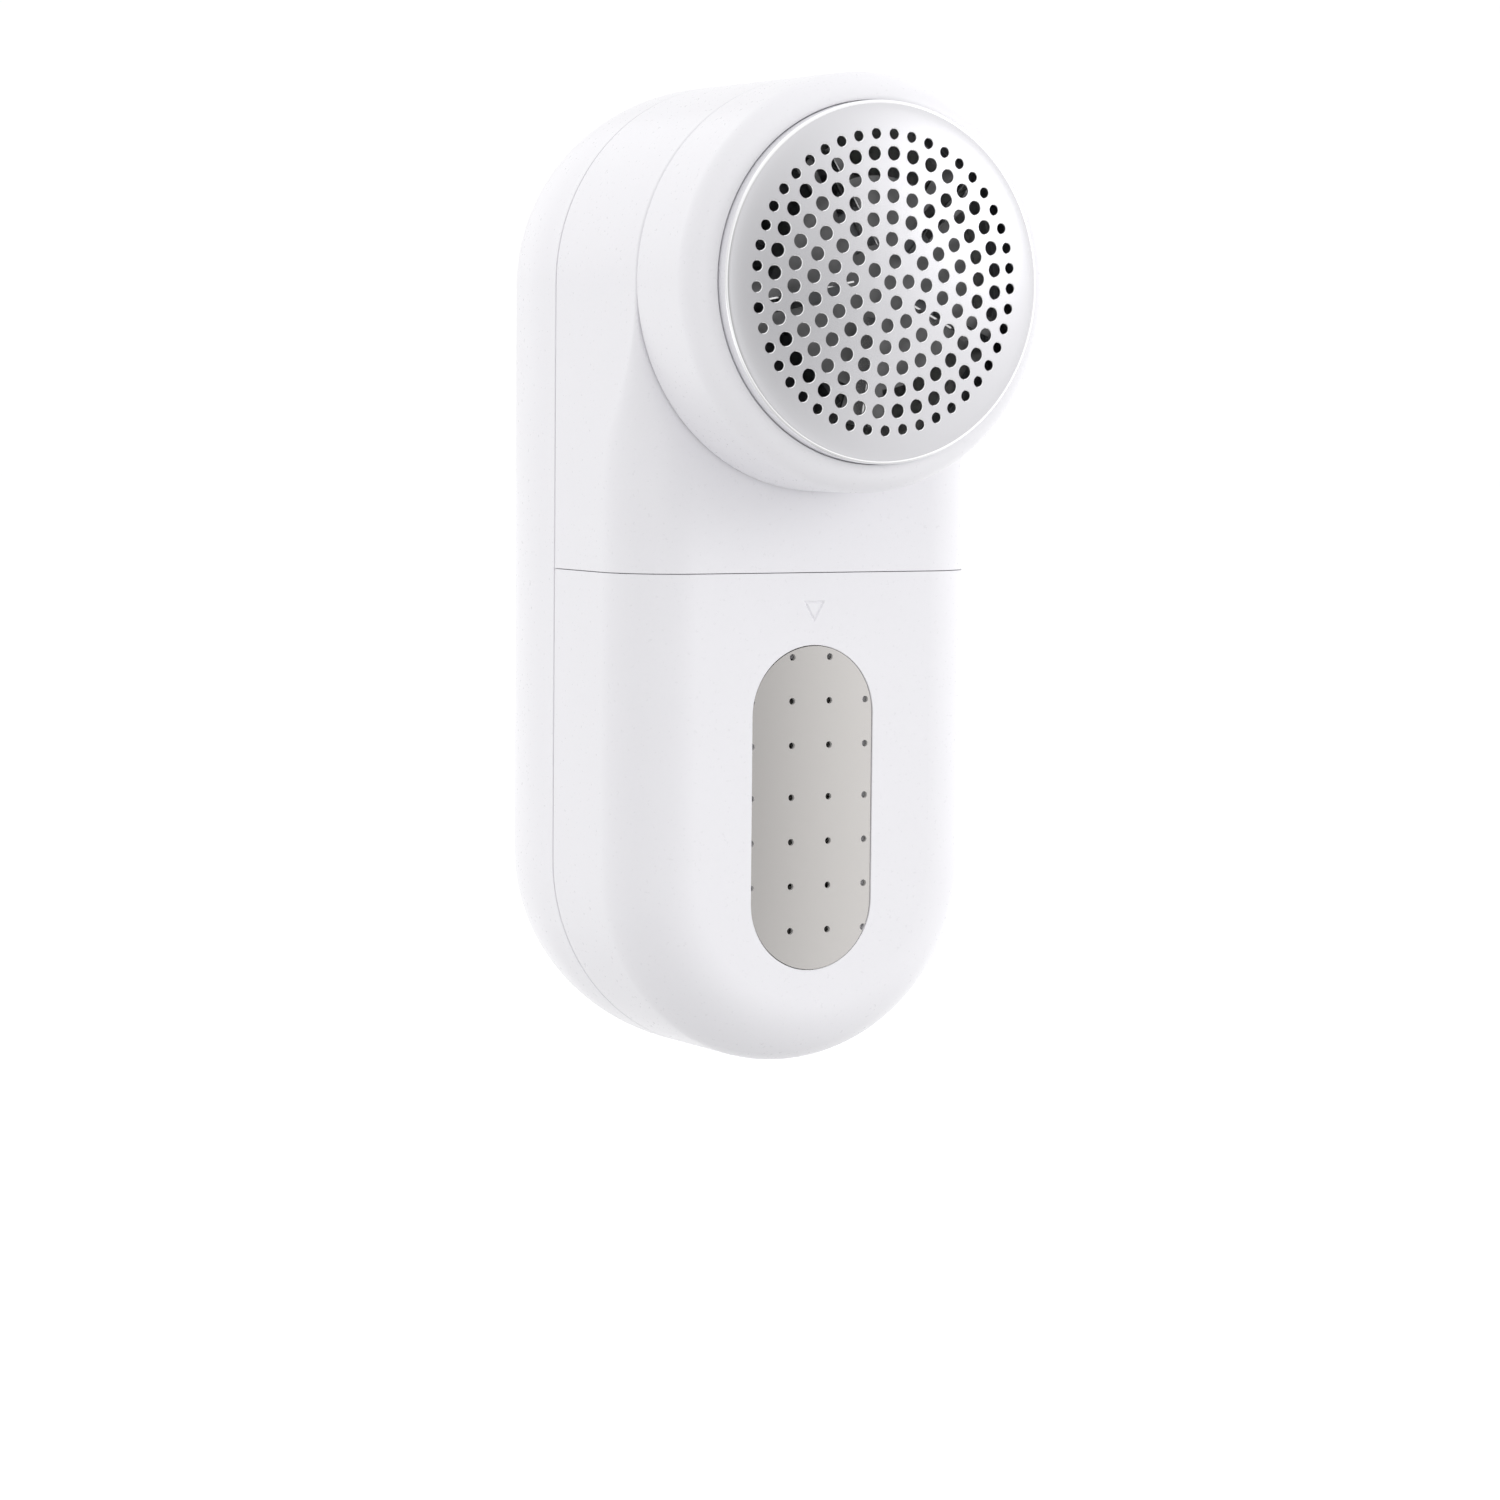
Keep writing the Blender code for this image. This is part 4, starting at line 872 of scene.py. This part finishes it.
def softbox(name, azimuth, elevation, size, power):
    """An area light in this direction from the body, facing it."""
    towards = direction(azimuth, elevation)
    data = bpy.data.lights.new(name, "AREA")
    data.shape = "DISK"
    data.size = size
    data.energy = power
    lamp = bpy.data.objects.new(name, data)
    bpy.context.scene.collection.objects.link(lamp)
    lamp.location = Vector((0, 0, HEAD_Z / 2)) + towards * SOFTBOX_DISTANCE
    lamp.rotation_mode = "QUATERNION"
    lamp.rotation_quaternion = towards.to_track_quat("Z", "Y")


def surroundings():
    """An even white studio with some brighter and dimmer directions."""
    world = bpy.data.worlds.new("studio")
    bpy.context.scene.world = world
    world.use_nodes = True
    tree = world.node_tree
    place = add_node(tree, "ShaderNodeTexCoord")
    total = STUDIO_LIGHT
    for azimuth, elevation, inner, outer, change in STUDIO_LOBES:
        dot = add_node(tree, "ShaderNodeVectorMath", operation="DOT_PRODUCT")
        dot.inputs[1].default_value = direction(azimuth, elevation)
        tree.links.new(place.outputs["Generated"], dot.inputs[0])
        lobe = remap(tree, dot.outputs["Value"], math.cos(math.radians(outer)),
                     math.cos(math.radians(inner)), 0.0, change, "SMOOTHSTEP")
        total = maths(tree, "ADD", lobe, total)
    background = tree.nodes["Background"]
    tree.links.new(total, background.inputs["Strength"])
    background.inputs["Color"].default_value = (1.0, 1.0, 1.0, 1)


def fade(tree, centre, reach, values):
    """A value that changes smoothly with the distance from a point."""
    place = add_node(tree, "ShaderNodeTexCoord")
    distance = add_node(tree, "ShaderNodeVectorMath", operation="DISTANCE")
    distance.inputs[1].default_value = centre
    tree.links.new(place.outputs["Object"], distance.inputs[0])
    return remap(tree, distance.outputs["Value"], *reach, *values, "SMOOTHSTEP")


def floor():
    """A pale floor that glows by itself, with a painted shadow under the object that darkens both its
    colour and its glow; the glow fades into the studio at its rim.
    """
    bm = bmesh.new()
    bmesh.ops.create_circle(bm, cap_ends=True, segments=256, radius=FLOOR_RADIUS,
                            matrix=Matrix.Translation(FLOOR_MIDDLE))
    paint = bpy.data.materials.new("floor")
    paint.use_nodes = True
    tree = paint.node_tree
    shader = tree.nodes["Principled BSDF"]
    shader.inputs["Roughness"].default_value = 0.9
    # The floor glows by itself (painted light), so it reads as bright white away from its painted shadow.
    shader.inputs["Emission Strength"].default_value = 0.3
    painted_shadow = fade(tree, Vector((0, 0, FLOOR_Z)), FLOOR_PAINTED_SHADOW_REACH, (FLOOR_PAINTED_SHADOW_DARKEST, FLOOR_PALEST))
    rim = fade(tree, FLOOR_MIDDLE, (FLOOR_RADIUS - FLOOR_FADE, FLOOR_RADIUS), (1.0, 0.0))
    tree.links.new(painted_shadow, shader.inputs["Base Color"])
    tree.links.new(maths(tree, "MULTIPLY", painted_shadow, rim), shader.inputs["Emission Color"])
    mesh_object("floor", bm, paint)


def camera():
    back = direction(AZIMUTH, ELEVATION)
    right = Vector((0, 0, 1)).cross(back).normalized()
    up = back.cross(right)
    turn = math.radians(ROLL)
    across = right * math.cos(turn) + up * math.sin(turn)
    above = up * math.cos(turn) - right * math.sin(turn)
    data = bpy.data.cameras.new("camera")
    data.sensor_width = 36
    data.lens = LENS
    data.clip_start, data.clip_end = 0.05, 20
    made = bpy.data.objects.new("camera", data)
    bpy.context.scene.collection.objects.link(made)
    made.matrix_world = (Matrix.Translation(AIM + back * DISTANCE)
                         @ Matrix((across, above, back)).transposed().to_4x4())
    bpy.context.scene.camera = made


def studio():
    bpy.context.scene.view_settings.view_transform = "Standard"
    surroundings()
    for name, azimuth, elevation, size, power in SOFTBOXES:
        softbox(name, azimuth, elevation, size, power)
    floor()
    camera()


front_housing()
lint_box()
rear_housing()
head_collar()
shaving_foil()
cutter_blade()
vent_plate()
battery_door()
switch_knob()
dress_frame()
studio()
